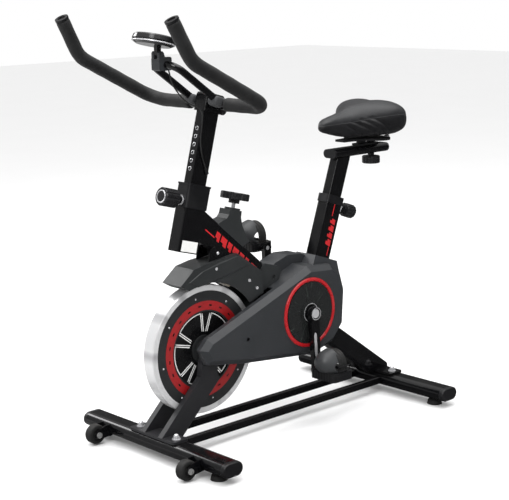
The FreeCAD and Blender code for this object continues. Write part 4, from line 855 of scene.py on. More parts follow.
makeTubePrint("down_tube_stripe", Vector((crankAxle.x, 0, crankAxle.z)), tubes["down"], printing["down"])
makeTubePrint("seat_tube_stripe", seatFoot, tubes["seat"], printing["seat"])


def makeLabel():
    bm = bmesh.new()
    lowA, highA = printing["label"]["along"]
    lowO, highO = printing["label"]["out"]
    addTubePrint(bm, headFoot, headLean, -tubes["head"]["halfWide"] - 0.00005, 0.0003,
                 [(lowA, lowO), (highA, lowO), (highA, highO), (lowA, highO)])
    newPiece("head_label", finishMesh(bm, "head_label"), "labelPaper", "base")


makeLabel()
print("stripes and label placed")


# soft parts: start small, then blow up with cloth pressure
def evaluated(piece):
    bpy.context.view_layer.update()
    graph = bpy.context.evaluated_depsgraph_get()
    return bpy.data.meshes.new_from_object(piece.evaluated_get(graph), depsgraph=graph)


def blowUp(mesh, plan):
    piece = looseObject("softForm", mesh)
    remesh = piece.modifiers.new("even", "REMESH")
    remesh.mode = "VOXEL"
    remesh.voxel_size = plan["voxel"]
    even = evaluated(piece)
    piece.modifiers.clear()
    piece.data = even
    start = [vert.co.copy() for vert in even.vertices]
    floor = min(point.z for point in start)
    held = piece.vertex_groups.new(name="held")
    held.add([i for i, point in enumerate(start) if point.z < floor + plan["heldHigh"]], 1.0, "REPLACE")
    cloth = piece.modifiers.new("skin", "CLOTH")
    cloth.settings.quality = 5
    cloth.settings.mass = 0.3
    cloth.settings.tension_stiffness = 12
    cloth.settings.compression_stiffness = 12
    cloth.settings.bending_stiffness = plan["bend"]
    cloth.settings.use_pressure = True
    cloth.settings.uniform_pressure_force = plan["pressure"]
    cloth.settings.effector_weights.gravity = 0
    cloth.settings.vertex_group_mass = "held"
    cloth.point_cache.frame_start = 1
    cloth.point_cache.frame_end = plan["frames"]
    for frameNumber in range(1, plan["frames"] + 1):
        scene.frame_set(frameNumber)
    blown = evaluated(piece)
    for vert, origin in zip(blown.vertices, start):
        shift = vert.co - origin
        if shift.length > plan["cap"]:
            vert.co = origin + shift.normalized() * plan["cap"]
    piece.modifiers.clear()
    scene.frame_set(1)
    bpy.data.objects.remove(piece)
    return blown


def smoothedForm(mesh, rounds, levels):
    piece = looseObject("smoothForm", mesh)
    even = piece.modifiers.new("even", "SMOOTH")
    even.factor = 0.5
    even.iterations = rounds
    finer = piece.modifiers.new("finer", "SUBSURF")
    finer.levels = levels
    finer.render_levels = levels
    result = evaluated(piece)
    bpy.data.objects.remove(piece)
    return result


# saddle: stations from nose to tail give half width, underside and top
saddle = {
    "inset": 0.007, "voxel": 0.005, "pressure": 4.0, "cap": 0.009, "frames": 20, "heldHigh": 0.006, "bend": 4.0,
    "stations": [
        (0.000, 0.012, 0.024, 0.046), (0.006, 0.020, 0.020, 0.056), (0.020, 0.028, 0.016, 0.064),
        (0.046, 0.032, 0.011, 0.069), (0.074, 0.037, 0.006, 0.073), (0.098, 0.046, 0.002, 0.079),
        (0.118, 0.058, 0.000, 0.086), (0.138, 0.076, 0.000, 0.094), (0.158, 0.094, 0.000, 0.101),
        (0.182, 0.109, 0.000, 0.106), (0.206, 0.118, 0.000, 0.108), (0.228, 0.118, 0.000, 0.106),
        (0.246, 0.111, 0.003, 0.100), (0.260, 0.098, 0.009, 0.091), (0.270, 0.076, 0.018, 0.079),
        (0.2745, 0.046, 0.030, 0.066),
    ],
    "seamHigh": 0.60, "seamDeep": 0.0016, "seamWide": 0.0035,
    "folds": [(0.092, 0.30, 0.162, 0.90), (0.108, 0.24, 0.176, 0.86), (0.124, 0.22, 0.188, 0.80),
              (0.080, 0.46, 0.140, 0.96)],
    "foldDeep": 0.0042, "foldWide": 0.0060,
    "weltRadius": 0.0008, "stitchHigh": 0.0042, "stitchIn": 0.0006, "stitchPitch": 0.0055, "stitchRadius": 0.00035,
}
padLow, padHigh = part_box("saddle_pad")


def saddleAt(along):
    stations = saddle["stations"]
    if along <= stations[0][0]:
        return stations[0][1:]
    for before, after in zip(stations, stations[1:]):
        if along <= after[0]:
            share = (along - before[0]) / (after[0] - before[0])
            return tuple(a + (b - a) * share for a, b in zip(before[1:], after[1:]))
    return stations[-1][1:]


def makeSaddleForm():
    bm = bmesh.new()
    inset = saddle["inset"]
    length = saddle["stations"][-1][0]
    rings = []
    count = 40
    steps = 56
    for i in range(steps + 1):
        share = 0.5 - 0.5 * math.cos(math.pi * i / steps)
        along = length * share
        half, low, high = saddleAt(along)
        x = padLow.x + inset + along * (length - 2 * inset) / length
        half = max(0.003, half - inset)
        low, high = low + inset * 0.6, high - inset
        middle, tall = (low + high) / 2, (high - low) / 2
        dip = 0.006 * math.exp(-((along - 0.235) / 0.05) ** 2)
        ring = []
        for k in range(count):
            turn = 2 * math.pi * k / count
            c, s = math.cos(turn), math.sin(turn)
            power = 0.62 if s > 0 else 0.75
            y = half * math.copysign(abs(c) ** 0.70, c)
            z = middle + tall * math.copysign(abs(s) ** power, s)
            if s > 0:
                z -= dip * math.exp(-(y / 0.022) ** 2) * s
            ring.append(bm.verts.new((x, y, padLow.z + z)))
        rings.append(ring)
    for first, second in zip(rings, rings[1:]):
        for k in range(count):
            j = (k + 1) % count
            bm.faces.new((first[k], first[j], second[j], second[k]))
    bm.faces.new(rings[0][::-1])
    bm.faces.new(rings[-1])
    return finishMesh(bm, "saddle_form")


def seamHeight(x):
    half, low, high = saddleAt(x - padLow.x)
    return padLow.z + low + (high - low) * saddle["seamHigh"]


# folds and the seam are pressed into the skin after it has been blown up
def pressFolds(mesh):
    for vert in mesh.vertices:
        point = vert.co
        along = point.x - padLow.x
        half, low, high = saddleAt(along)
        level = (point.z - padLow.z - low) / max(0.01, high - low)
        outward = Vector((0, math.copysign(1, point.y), 0))
        sideways = min(1.0, abs(point.y) / max(0.01, half * 0.7))
        if sideways > 0.5 and level < 0.66:
            push = 0.0
            for x1, d1, x2, d2 in saddle["folds"]:
                start = Vector((x1, 0.08 * d1))
                end = Vector((x2, 0.08 * d2))
                spot = Vector((along, 0.08 * (1 - level)))
                run = end - start
                t = (spot - start).dot(run) / run.length_squared
                off = (spot - start - run * t)
                gap = off.length * math.copysign(1, run.x * off.y - run.y * off.x)
                fade = max(0.0, 1 - (2 * abs(t - 0.5)) ** 4) if 0 < t < 1 else 0.0
                wide = saddle["foldWide"]
                ridge = 0.55 * math.exp(-((gap - wide * 0.9) / wide) ** 2)
                groove = math.exp(-(gap / (wide * 0.6)) ** 2)
                push += fade * (ridge - groove)
            vert.co += outward * push * saddle["foldDeep"]
        gap = (point.z - seamHeight(point.x)) / saddle["seamWide"]
        vert.co += (Vector((0, -point.y, 0)).normalized() if abs(point.y) > 0.004 else Vector((0, 0, 0))) * (
            math.exp(-gap * gap) * saddle["seamDeep"])


def seamPath(mesh, lift):
    tree = BVHTree.FromPolygons([v.co for v in mesh.vertices], [p.vertices[:] for p in mesh.polygons])
    centre = Vector((padLow.x + 0.190, 0, 0))
    path = []
    count = 220
    for i in range(count):
        turn = 2 * math.pi * i / count
        way = Vector((math.cos(turn), math.sin(turn), 0))
        level = padLow.z + 0.06
        spot = None
        for attempt in range(4):
            start = Vector((centre.x, 0, level)) + way * 0.5
            hit, normal = tree.ray_cast(start, -way)[:2]
            if hit is None:
                break
            spot = hit + normal * lift
            level = seamHeight(hit.x)
        if spot is not None:
            path.append(spot)
    return path


def pathObject(name, path, closed):
    mesh = bpy.data.meshes.new(name)
    count = len(path)
    edges = [(i, (i + 1) % count) for i in range(count if closed else count - 1)]
    mesh.from_pydata([tuple(p) for p in path], edges, [])
    return looseObject(name, mesh)


def makeSaddle():
    skin = blowUp(makeSaddleForm(), saddle)
    skin = smoothedForm(skin, 4, 1)
    pressFolds(skin)
    skin = smoothedForm(skin, 1, 0)
    skin.materials.clear()
    skin.materials.append(finish["saddleShadedSide"])
    skin.materials.append(finish["saddleLitTop"])
    # faces above the seam take the lighter top copy: painted light on the top, painted shade on the sides
    for face in skin.polygons:
        face.material_index = 1 if face.center.z > seamHeight(face.center.x) else 0
    skin.shade_smooth()
    piece = newPiece("saddle_skin", skin, None, "saddle", ["saddle_pad"])
    welt = seamPath(skin, 0.0002)
    bm = bmesh.new()
    addSweep(bm, welt, roundSection(saddle["weltRadius"], 8), closed=True)
    newPiece("saddle_welt", finishMesh(bm, "saddle_welt", 80), "seamThread", "saddle")
    # stitches just above the welt
    raised = [point + Vector((0, 0, saddle["stitchHigh"])) -
              Vector((0, point.y, 0)).normalized() * saddle["stitchIn"] for point in welt]
    bm = bmesh.new()
    thread = saddle["stitchRadius"]
    addSweep(bm, [Vector((0, 0, z)) for z in (-0.0018, -0.0009, 0.0009, 0.0018)],
             lambda t: [(thread * math.cos(a), thread * math.sin(a)) for a in (0.8, 2.36, 3.9, 5.5)],
             above=Vector((1, 0, 0)))
    part = looseObject("stitch", finishMesh(bm, "stitch"))
    mesh = bakeTree("path", "saddle_stitches", {
        "Path": pathObject("stitchLine", raised, True), "Part": part, "Spacing": saddle["stitchPitch"],
        "Material": finish["seamThread"]})
    newPiece("saddle_stitches", mesh, None, "saddle")


makeSaddle()
print("saddle made")

# foam on the handlebar
handlebar = {
    "foamRadius": 0.0170, "gripStart": 0.066, "elbowY": 0.214, "tipY": 0.209,
    "bend": (-0.2297, 0.1197), "tip": (-0.2777, 0.2107), "elbowRadius": 0.052, "bendRadius": 0.070,
}


def gripPath(side):
    plan = handlebar
    start = Vector((barCross.x, side * plan["gripStart"], barCross.z))
    elbow = Vector((barCross.x, side * plan["elbowY"], barCross.z))
    bend = Vector((barCross.x + plan["bend"][0], side * plan["elbowY"], barCross.z + plan["bend"][1]))
    tip = Vector((barCross.x + plan["tip"][0], side * plan["tipY"], barCross.z + plan["tip"][1]))
    return bentPath([start, elbow, bend, tip], [plan["elbowRadius"], plan["bendRadius"]])


# foam sleeve, pulled in a little at both ends and not quite even along its length
def makeGrips():
    bm = bmesh.new()
    radius = handlebar["foamRadius"]
    sides = 28
    for side in (-1, 1):
        path = gripPath(side)
        last = len(path) - 1

        def section(t, last=last):
            fromEnd = min(t, 1 - t) * last * 0.006
            size = radius - 0.0026 * math.exp(-fromEnd / 0.0022)
            size += 0.00022 * math.sin(t * 61.0) - 0.0002
            return [(size * math.cos(2 * math.pi * i / sides), size * math.sin(2 * math.pi * i / sides))
                    for i in range(sides)]

        dense = []
        for i, point in enumerate(path):
            dense.append(point)
            if i < last and (i < 2 or i > last - 3):
                dense.append(point.lerp(path[i + 1], 0.5))
        addSweep(bm, dense, section, above=Vector((0, side * 0.2, 1)))
    piece = newPiece("grip_foam", finishMesh(bm, "grip_foam", 50), "gripFoam", "handlebar_assembly",
                     ["grips"])


barPad = {
    "voxel": 0.004, "pressure": 3.0, "cap": 0.004, "frames": 12, "heldHigh": 0.002, "bend": 6.0, "inset": 0.003,
    "size": (0.070, 0.039, 0.032), "ahead": 0.007, "lean": 20.0, "place": (0.004, 0.0445), "round": 0.009,
}


def makeBarPads():
    low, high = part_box("bar_pads")
    bm = bmesh.new()
    for side in (-1, 1):
        cube = bmesh.ops.create_cube(bm, size=1.0)["verts"]
        for vert in cube:
            local = vert.co.copy()
            size = Vector(barPad["size"]) - Vector((2, 1, 2)) * barPad["inset"]
            point = Vector((local.x * size.x - barPad["ahead"], local.y * size.y, local.z * size.z + 0.001))
            point = Matrix.Rotation(math.radians(barPad["lean"]), 3, "Y") @ point
            behind, aside = barPad["place"]
            vert.co = point + Vector((barCross.x + behind, side * aside, barCross.z))
    bmesh.ops.bevel(bm, geom=bm.edges[:], offset=barPad["round"], segments=3, affect="EDGES", profile=0.5)
    skin = blowUp(finishMesh(bm, "padForm"), barPad)
    skin = smoothedForm(skin, 2, 1)
    skin.shade_smooth()
    piece = newPiece("bar_pad_foam", skin, "padFoam", "handlebar_assembly", ["bar_pads"])


makeGrips()
makeBarPads()
print("foam made")

# pedals: toe cup, ridged strap with a buckle, and grip studs
pedal = {
    "halfDeep": 0.037, "halfHigh": 0.011,
    "cupRows": 14, "cupColumns": 24, "cupThick": 0.0026, "cupRise": 0.062, "cupOut": 0.022, "cupHalf": 0.0375,
    "strapWide": 0.026, "strapThick": 0.0028, "strapRadius": 0.040, "strapRise": 0.014, "strapBack": 0.004,
    "strapDrop": 0.016, "ridges": (0.0105, 0.0, -0.0105), "ridgeHigh": 0.0006,
    "buckle": (-0.016, 0.024, 0.004, 0.016), "buckleThick": 0.0017,
    "studs": 6, "studPitch": 0.010, "studAhead": 0.0335, "studStart": -0.025, "studShape": (0.0022, 0.0013, 0.0016),
}


def cupPoint(centre, u, v):
    # u runs across from -1 to 1, v from the pedal's front edge up to the hood's rear lip
    turn = v * math.pi * 0.5
    aside = abs(u) ** 2.2
    front = centre.x - pedal["halfDeep"] + 0.004 - pedal["cupOut"] * math.sin(math.pi * min(1.0, v * 1.15) ** 0.8)
    rise = pedal["cupRise"] * math.sin(turn) * (1 - 0.16 * aside)
    back = (0.027 * v ** 1.5) * (1 - aside) + (0.030 + 0.004 * v) * aside
    half = pedal["cupHalf"] * (1 - 0.10 * v)
    return Vector((front + back, centre.y + half * math.copysign(abs(u) ** 0.85, u),
                   centre.z + pedal["halfHigh"] - 0.003 + rise - 0.020 * aside * v))


def makeToeClip(side, name):
    body = name + "_pedal"
    centre = pivots[body + "_spin"]
    bm = bmesh.new()
    rows, columns = pedal["cupRows"], pedal["cupColumns"]
    grid = [[bm.verts.new(cupPoint(centre, -1 + 2 * c / columns, r / rows)) for c in range(columns + 1)]
            for r in range(rows + 1)]
    for r in range(rows):
        for c in range(columns):
            bm.faces.new((grid[r][c], grid[r][c + 1], grid[r + 1][c + 1], grid[r + 1][c]))
    shell = looseObject("cup", finishMesh(bm, "cup"))
    wall = shell.modifiers.new("wall", "SOLIDIFY")
    wall.thickness = pedal["cupThick"]
    wall.offset = -1
    soft = shell.modifiers.new("soft", "BEVEL")
    soft.width = 0.0006
    soft.segments = 2
    cup = evaluated(shell)
    bpy.data.objects.remove(shell)
    cup.shade_smooth()
    cup.set_sharp_from_angle(angle=math.radians(40))
    newPiece("toe_cup_" + name, cup, "toeCupPlastic", body)

    # strap: a flat band over the foot, with three raised ridges
    bm = bmesh.new()
    top = centre.z + pedal["halfHigh"]
    radius = pedal["strapRadius"]
    strapX = centre.x + pedal["strapBack"]
    shoulder = top + pedal["strapRise"] * 0.5
    path = [Vector((strapX, centre.y - radius, z)) for z in (top - pedal["strapDrop"], shoulder)]
    for i in range(25):
        turn = math.pi - math.pi * i / 24
        path.append(Vector((strapX, centre.y + radius * math.cos(turn),
                            top + pedal["strapRise"] + radius * math.sin(turn))))
    path += [Vector((strapX, centre.y + radius, z)) for z in (shoulder, top - pedal["strapDrop"])]
    half, thick, high = pedal["strapWide"] / 2, pedal["strapThick"], pedal["ridgeHigh"]
    outline = [(-half, -thick), (half, -thick), (half, -high)]
    for ridge in pedal["ridges"]:
        outline += [(ridge + 0.0028, -high), (ridge + 0.0018, high),
                    (ridge - 0.0018, high), (ridge - 0.0028, -high)]
    outline += [(-half, -high)]

    def outwardAt(i):
        point = path[i]
        middle = Vector((point.x, centre.y, min(point.z, top + pedal["strapRise"])))
        return point - middle

    addSweep(bm, path, lambda t: outline, above=outwardAt)
    newPiece("toe_strap_" + name, finishMesh(bm, "toe_strap_" + name, 30), "rubber", body,
             ["toe_clip_" + name])

    # a wire buckle on the strap's outer end
    bm = bmesh.new()
    y = centre.y + side * (radius + pedal["ridgeHigh"])
    front, rear, low, high = pedal["buckle"]
    corners = ((front, low), (rear, low), (rear, high), (front, high))
    addSweep(bm, [Vector((centre.x + x, y, top + z)) for x, z in corners],
             roundSection(pedal["buckleThick"], 10), above=Vector((0, 1, 0)), closed=True)
    newPiece("strap_buckle_" + name, finishMesh(bm, "strap_buckle_" + name), "blackPlastic", body)

    bm = bmesh.new()
    wide, narrow, tall = pedal["studShape"]
    for end in (-1, 1):
        for i in range(pedal["studs"]):
            stud = bmesh.ops.create_cone(bm, cap_ends=True, segments=10, radius1=wide, radius2=narrow, depth=tall)
            bmesh.ops.translate(bm, verts=stud["verts"], vec=(
                centre.x + end * pedal["studAhead"], centre.y + pedal["studStart"] + pedal["studPitch"] * i,
                top + 0.0006))
    newPiece("pedal_studs_" + name, finishMesh(bm, "pedal_studs_" + name), "blackPlastic", body)


makeToeClip(-1, "left")
makeToeClip(1, "right")
print("pedals dressed")

# crank: chrome rings round the hub and a bright strip along each arm
crank = {
    "rings": [((0.0152, 0.0166), 0.0953), ((0.0236, 0.0252), 0.0752)], "ringThick": 0.0003,
    "strip": [(0.052, 0.5), (0.058, 1.0), (0.112, 1.0), (0.118, 0.5)],
    "stripWide": 0.0045, "stripAside": 0.0035, "stripY": 0.0911, "stripThick": 0.0004,
}


def makeCrankTrim():
    bm = bmesh.new()
    for reach, y in crank["rings"]:
        addFlatRing(bm, crankAxle, reach, y, crank["ringThick"], 48)
    newPiece("crank_hub_trim", finishMesh(bm, "crank_hub_trim"), "chrome", "crank")

    bm = bmesh.new()
    hub = Vector((crankAxle.x, 0, crankAxle.z))
    for side, joint in ((-1, "left_pedal_spin"), (1, "right_pedal_spin")):
        place = pivots[joint]
        way = Vector((place.x - crankAxle.x, 0, place.z - crankAxle.z)).normalized()
        flank = Vector((way.z, 0, -way.x))
        inner = []
        outer = []
        for along, wide in crank["strip"]:
            base = hub + way * along + flank * crank["stripAside"]
            reach = flank * crank["stripWide"] * wide
            inner.append(((base - reach).x, (base - reach).z))
            outer.append(((base + reach).x, (base + reach).z))
        y = side * crank["stripY"]
        addBand(bm, inner, outer, y, y + side * crank["stripThick"])
    newPiece("crank_arm_strips", finishMesh(bm, "crank_arm_strips"), "chrome", "crank")


makeCrankTrim()


# a turned ring about any axis: profile pairs are (radius, along)
def addTurned(bm, start, way, profile, sides=40, closed=True):
    way = way.normalized()
    aside = way.orthogonal().normalized()
    third = way.cross(aside)
    rings = []
    for radius, along in profile:
        centre = start + way * along
        if radius < 1e-7:
            rings.append([bm.verts.new(centre)])
            continue
        rings.append([bm.verts.new(centre + (aside * math.cos(2 * math.pi * i / sides) +
                                             third * math.sin(2 * math.pi * i / sides)) * radius)
                      for i in range(sides)])
    pairs = list(zip(rings, rings[1:]))
    if closed:
        pairs.append((rings[-1], rings[0]))
    for first, second in pairs:
        for i in range(sides):
            j = (i + 1) % sides
            if len(first) == 1 and len(second) == 1:
                continue
            if len(first) == 1:
                bm.faces.new((first[0], second[i], second[j]))
            elif len(second) == 1:
                bm.faces.new((first[i], first[j], second[0]))
            else:
                bm.faces.new((first[i], first[j], second[j], second[i]))


def capProfile(radius, rim, height):
    return [(0.0, 0.0), (radius - rim, 0.0), (radius - rim, height), (radius - rim * 0.7, height * 1.4),
            (radius - rim * 0.3, height * 1.4), (radius, height * 0.6), (radius, -0.0012), (0.0, -0.0012)]


headKnobFace = [(0.0, 0.0008), (0.010, 0.0008), (0.0134, 0.0003), (0.0134, -0.0005), (0.0, -0.0005)]
knobs = {
    "head": {"out": 0.0985, "along": -0.034, "cap": (0.0165, 0.0028, 0.0012), "nutOut": 0.0365, "nutWide": 0.0135},
    "seat": {"out": 0.0920, "along": -0.134, "cap": (0.0130, 0.0022, 0.0010), "nutOut": 0.0345, "nutWide": 0.0132},
    "nutBore": 0.0112, "nutHigh": 0.0040,
}


def makeKnobCaps():
    nuts = bmesh.new()
    for name, foot, lean in (("head", headFoot, headLean), ("seat", seatFoot, tubes["seat"]["lean"])):
        plan = knobs[name]
        way = ways[name + "_pin_pull"]
        centre = alongTube(foot, lean, plan["along"], 0, 0)
        bm = bmesh.new()
        addTurned(bm, centre + way * plan["out"], way, capProfile(*plan["cap"]))
        newPiece(name + "_knob_ring", finishMesh(bm, name + "_knob_ring"), "chrome", name + "_pin")
        # polished six-sided lock ring where the pin enters the tube
        bore, wide, high = knobs["nutBore"], plan["nutWide"], knobs["nutHigh"]
        middle = wide + (0.0005 if name == "head" else 0.0004)
        addTurned(nuts, centre + way * plan["nutOut"], way,
                  [(bore, 0.0), (wide, 0.0), (middle, 0.0015), (wide, high), (bore, high)], 6)
        if name == "head":
            bm = bmesh.new()
            addTurned(bm, centre + way * (plan["out"] + 0.0001), way, headKnobFace)
            newPiece("head_knob_face", finishMesh(bm, "head_knob_face"), "knobPlastic", "head_pin")
    newPiece("pin_lock_nuts", finishMesh(nuts, "pin_lock_nuts"), "chrome", "base")


# height marks down the head post's front face: a black disc in a shallow dimple as painted shade in each hole, in a
# bright chrome rim as painted highlight at its edge
markRadius, markRim = 0.0050, 0.0010
postMarks = {
    "pitch": 0.020, "along": (0.046, 0.1465), "out": -0.0250,
    "rims": [(markRadius - markRim, 0.0), (markRadius - markRim, 0.0007), (markRadius, 0.0004),
             (markRadius + 0.0003, 0.0)],
    "dimples": [(0.0, 0.00005), (0.0, 0.00025), (markRadius - markRim, 0.0003), (markRadius - markRim, 0.00005)],
}


def makePostMarks():
    low, high = postMarks["along"]
    start, end = (alongTube(headFoot, headLean, along, postMarks["out"], 0) for along in (low, high))
    pitch = postMarks["pitch"]
    line = [start + (end - start).normalized() * pitch * i for i in range(int((high - low) / pitch) + 1)]
    # the black discs are painted shade in the holes, and the chrome rims are painted highlights round them
    for kind, look in (("rims", "chrome"), ("dimples", "wheelBlack")):
        name = "post_mark_" + kind
        bm = bmesh.new()
        addTurned(bm, Vector((0, 0, 0)), Vector((0, 0, -1)), postMarks[kind], 16)
        # each mark is turned to face out of the post's front
        bmesh.ops.rotate(bm, verts=bm.verts, matrix=Matrix.Rotation(math.pi / 2 + headLean, 3, "Y"))
        part = looseObject(name + "Part", finishMesh(bm, name))
        baked = bakeTree("spots", name, {"Path": pathObject("markLine", line, False), "Part": part,
                                         "Material": finish[look]})
        newPiece(name, baked, None, "handlebar_assembly")


makeKnobCaps()
makePostMarks()
print("knobs trimmed")

# console: bright trim under the dome, and plain bars on the display
console = {
    "tilt": math.radians(14.0), "halfX": 0.0485, "halfY": 0.0535, "trim": 0.0016, "trimHigh": 0.0065,
    "ahead": 0.008, "screenHigh": 0.02315, "barHigh": 0.02392, "barThick": 0.0002,
    "bars": [(-0.022, 5), (-0.010, 7), (0.002, 4)], "barPitch": 0.0075, "barHalf": (0.0036, 0.0022),
}


def consolePoint(x, y, z):
    low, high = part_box("console_screen")
    tilt = console["tilt"]
    base = (low + high) / 2 + Vector((math.cos(tilt), 0, -math.sin(tilt))) * console["ahead"]
    return base + Matrix.Rotation(tilt, 3, "Y") @ Vector((x, y, z - console["screenHigh"]))


def addSlab(bm, corners, lift):
    lower = [bm.verts.new(point) for point in corners]
    upper = [bm.verts.new(point + lift) for point in corners]
    bm.faces.new(upper)
    bm.faces.new(lower[::-1])
    count = len(corners)
    for i in range(count):
        j = (i + 1) % count
        bm.faces.new((lower[i], lower[j], upper[j], upper[i]))


def makeConsoleTrim():
    bm = bmesh.new()
    turns = [2 * math.pi * i / 72 for i in range(72)]
    path = [consolePoint(console["halfX"] * math.cos(turn), console["halfY"] * math.sin(turn), console["trimHigh"])
            for turn in turns]
    upward = Matrix.Rotation(console["tilt"], 3, "Y") @ Vector((0, 0, 1))
    addSweep(bm, path, roundSection(console["trim"], 10), above=upward, closed=True)
    newPiece("console_trim", finishMesh(bm, "console_trim", 60), "chrome", "console")
    bm = bmesh.new()
    halfX, halfY = console["barHalf"]
    for x, marks in console["bars"]:
        for i in range(marks):
            y = (i - (marks - 1) / 2) * console["barPitch"]
            corners = [consolePoint(x + dx, y + dy, console["barHigh"]) for dx, dy in
                       ((-halfX, -halfY), (-halfX, halfY), (halfX, halfY), (halfX, -halfY))]
            addSlab(bm, corners, Vector((0, 0, console["barThick"])))
    newPiece("console_bars", finishMesh(bm, "console_bars"), "blackPlastic", "console")


makeConsoleTrim()
print("console trimmed")

# fender: a raised facet that makes the crease, and its bracket to the down tube
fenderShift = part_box("fender")[0].x + 0.337
fender = {
    "facet": [(-0.312, 0.430), (-0.282, 0.415), (-0.200, 0.425), (-0.104, 0.447), (-0.150, 0.474), (-0.212, 0.466),
              (-0.270, 0.452)],
    "facetY": 0.036, "facetLift": 0.0016, "facetBevel": 0.004,
    "bracket": [(-0.236, 0.470), (-0.190, 0.476), (-0.186, 0.488), (-0.214, 0.506), (-0.232, 0.500)],
    "bracketY": 0.0225, "bracketLift": 0.003, "bracketBevel": 0.0008,
}


def addRaisedFacet(bm, outline, y, lift, bevel):
    centre = Vector((sum(p[0] for p in outline) / len(outline), sum(p[1] for p in outline) / len(outline)))
    lower = [bm.verts.new((x, y, z)) for x, z in outline]
    upper = []
    for x, z in outline:
        inward = (centre - Vector((x, z))).normalized() * bevel
        upper.append(bm.verts.new((x + inward.x, y + math.copysign(lift, y), z + inward.y)))
    count = len(outline)
    for i in range(count):
        j = (i + 1) % count
        bm.faces.new((lower[i], lower[j], upper[j], upper[i]))
    bm.faces.new(upper)
    bm.faces.new(lower[::-1])


def makeFenderFacet():
    for name, kind, angle, look, slot in (("fender_facets", "facet", 10, "fenderShell", "grey_shell"),
                                          ("fender_bracket", "bracket", 20, "glossPaint", "black_paint")):
        bm = bmesh.new()
        outline = [(x + fenderShift, z) for x, z in fender[kind]]
        for side in (-1, 1):
            addRaisedFacet(bm, outline, side * fender[kind + "Y"], fender[kind + "Lift"], fender[kind + "Bevel"])
        newPiece(name, finishMesh(bm, name, angle), look, "base")


makeFenderFacet()

# small bright screws on the bracket, and rivets under the saddle
screws = {
    "radius": 0.0042, "height": 0.0022, "bracket": (-0.206, 0.488), "bracketY": 0.0255,
    "rivetAhead": 0.052, "rivetY": 0.045, "rivetHigh": 0.001, "rivetWay": (0.25, 0, -1),
    "rivet": [(0.0, 0.0045), (0.004, 0.0045), (0.0065, 0.0030), (0.0075, 0.0005), (0.0075, -0.002), (0.0, -0.002)],
}


def makeSmallScrews():
    x, z = screws["bracket"]
    bm = domeHead(screws["radius"], screws["height"])
    bmesh.ops.translate(bm, verts=bm.verts, vec=(x + fenderShift, -screws["bracketY"], z))
    mirroredY(bm)
    newPiece("bracket_screws", finishMesh(bm, "bracket_screws"), "chrome", "base")
    # rivets that hold the saddle's skin to its pan, at the rear
    bm = bmesh.new()
    for side in (-1, 1):
        start = Vector((padHigh.x - screws["rivetAhead"], side * screws["rivetY"], padLow.z + screws["rivetHigh"]))
        addTurned(bm, start, Vector(screws["rivetWay"]), screws["rivet"], 20)
    newPiece("saddle_rivets", finishMesh(bm, "saddle_rivets"), "chrome", "saddle")


makeSmallScrews()
print("screws placed")


# stage: pale floor and backdrop; dark cards and one bright card give the gloss something to mirror
studio = {"floor": 0.93, "cardDark": 0.05, "cardBright": 0.34, "cardWay": (-0.72, 0.69), "sky": 1.0, "fill": 0.98}


# how far a place lies towards the bright card
def cardSide(tree, source, low, high):
    parts = addNode(tree, "ShaderNodeSeparateXYZ")
    tree.links.new(source, parts.inputs[0])
    acrossX, acrossY = (sums(tree, "MULTIPLY", parts.outputs[axis], share)
                        for axis, share in zip("XY", studio["cardWay"]))
    side = remap(tree, sums(tree, "ADD", acrossX, acrossY), low, high, studio["cardDark"], studio["cardBright"])
    return side, parts.outputs["Z"]


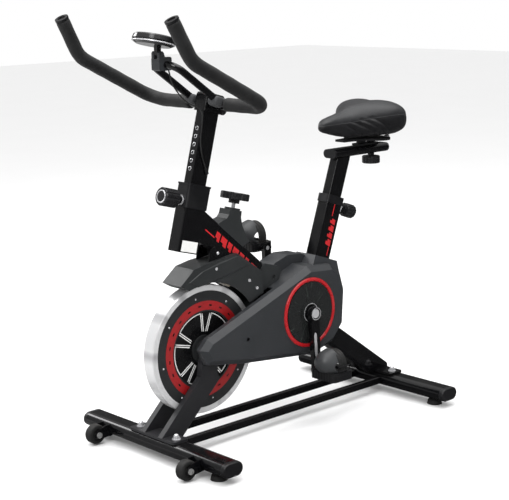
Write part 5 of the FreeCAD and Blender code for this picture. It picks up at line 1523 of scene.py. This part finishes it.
def makeStage():
    bm = bmesh.new()
    bmesh.ops.create_grid(bm, x_segments=1, y_segments=1, size=14.0)
    floor = looseObject("studio_floor", finishMesh(bm, "studio_floor"))
    material, tree, shader = startFinish("paleFloor")
    place = objectPlace(tree)
    cloud = addTexture(tree, "ShaderNodeTexNoise", place, {"Scale": 3.0, "Detail": 4.0})
    pale = blendColour(tree, cloud.outputs[0], (studio["floor"] - 0.02,) * 3, (studio["floor"],) * 3)
    card, up = cardSide(tree, place, 0.15, 0.75)
    cardColour = blendColour(tree, card, (0.0, 0.0, 0.0), (1.0, 1.0, 1.0))
    mirrored = addNode(tree, "ShaderNodeLightPath").outputs["Is Glossy Ray"]
    tree.links.new(blendColour(tree, mirrored, pale, cardColour), shader.inputs["Base Color"])
    tree.links.new(remap(tree, cloud.outputs[0], 0.0, 1.0, 0.7, 0.85), shader.inputs["Roughness"])
    shader.inputs["Specular IOR Level"].default_value = 0.1
    floor.data.materials.append(material)
    makeSky()


def pickByRay(tree, rayKind, otherwise, chosen):
    pick = addNode(tree, "ShaderNodeMix", data_type="FLOAT")
    path = addNode(tree, "ShaderNodeLightPath")
    tree.links.new(path.outputs[rayKind], pick.inputs[0])
    feed(tree, pick.inputs[2], otherwise)
    feed(tree, pick.inputs[3], chosen)
    return pick.outputs[0]


def makeSky():
    world = bpy.data.worlds.new("studio")
    world.use_nodes = True
    tree = world.node_tree
    sky = tree.nodes["Background"]
    side, up = cardSide(tree, addNode(tree, "ShaderNodeTexCoord").outputs["Generated"], 0.1, 0.8)
    above = remap(tree, up, 0.25, 0.8, 0.0, 0.8)
    mirrored = pickByRay(tree, "Is Glossy Ray", studio["fill"], sums(tree, "MAXIMUM", side, above))
    sky.inputs["Color"].default_value = (1.0, 1.0, 1.0, 1.0)
    tree.links.new(pickByRay(tree, "Is Camera Ray", mirrored, studio["sky"]), sky.inputs["Strength"])
    scene.world = world


def addLight(name, place, target, size, power, sizeY=None):
    data = bpy.data.lights.new(name, "AREA")
    data.energy = power
    data.size = size
    if sizeY:
        data.shape = "RECTANGLE"
        data.size_y = sizeY
    lamp = bpy.data.objects.new(name, data)
    scene.collection.objects.link(lamp)
    lamp.location = place
    lamp.rotation_mode = "QUATERNION"
    lamp.rotation_quaternion = (Vector(place) - Vector(target)).to_track_quat("Z", "Y")


makeStage()
addLight("topPanel", (0.1, -0.2, 3.4), (0, 0, 0.2), 3.4, 85)
addLight("keyPanel", (-2.4, -1.2, 2.6), (0, 0, 0.5), 1.2, 38, 1.6)
addLight("sidePanel", (-0.6, 2.9, 1.9), (0, 0, 0.5), 1.0, 30, 1.6)
scene.view_settings.view_transform = "Standard"
print("stage lit")
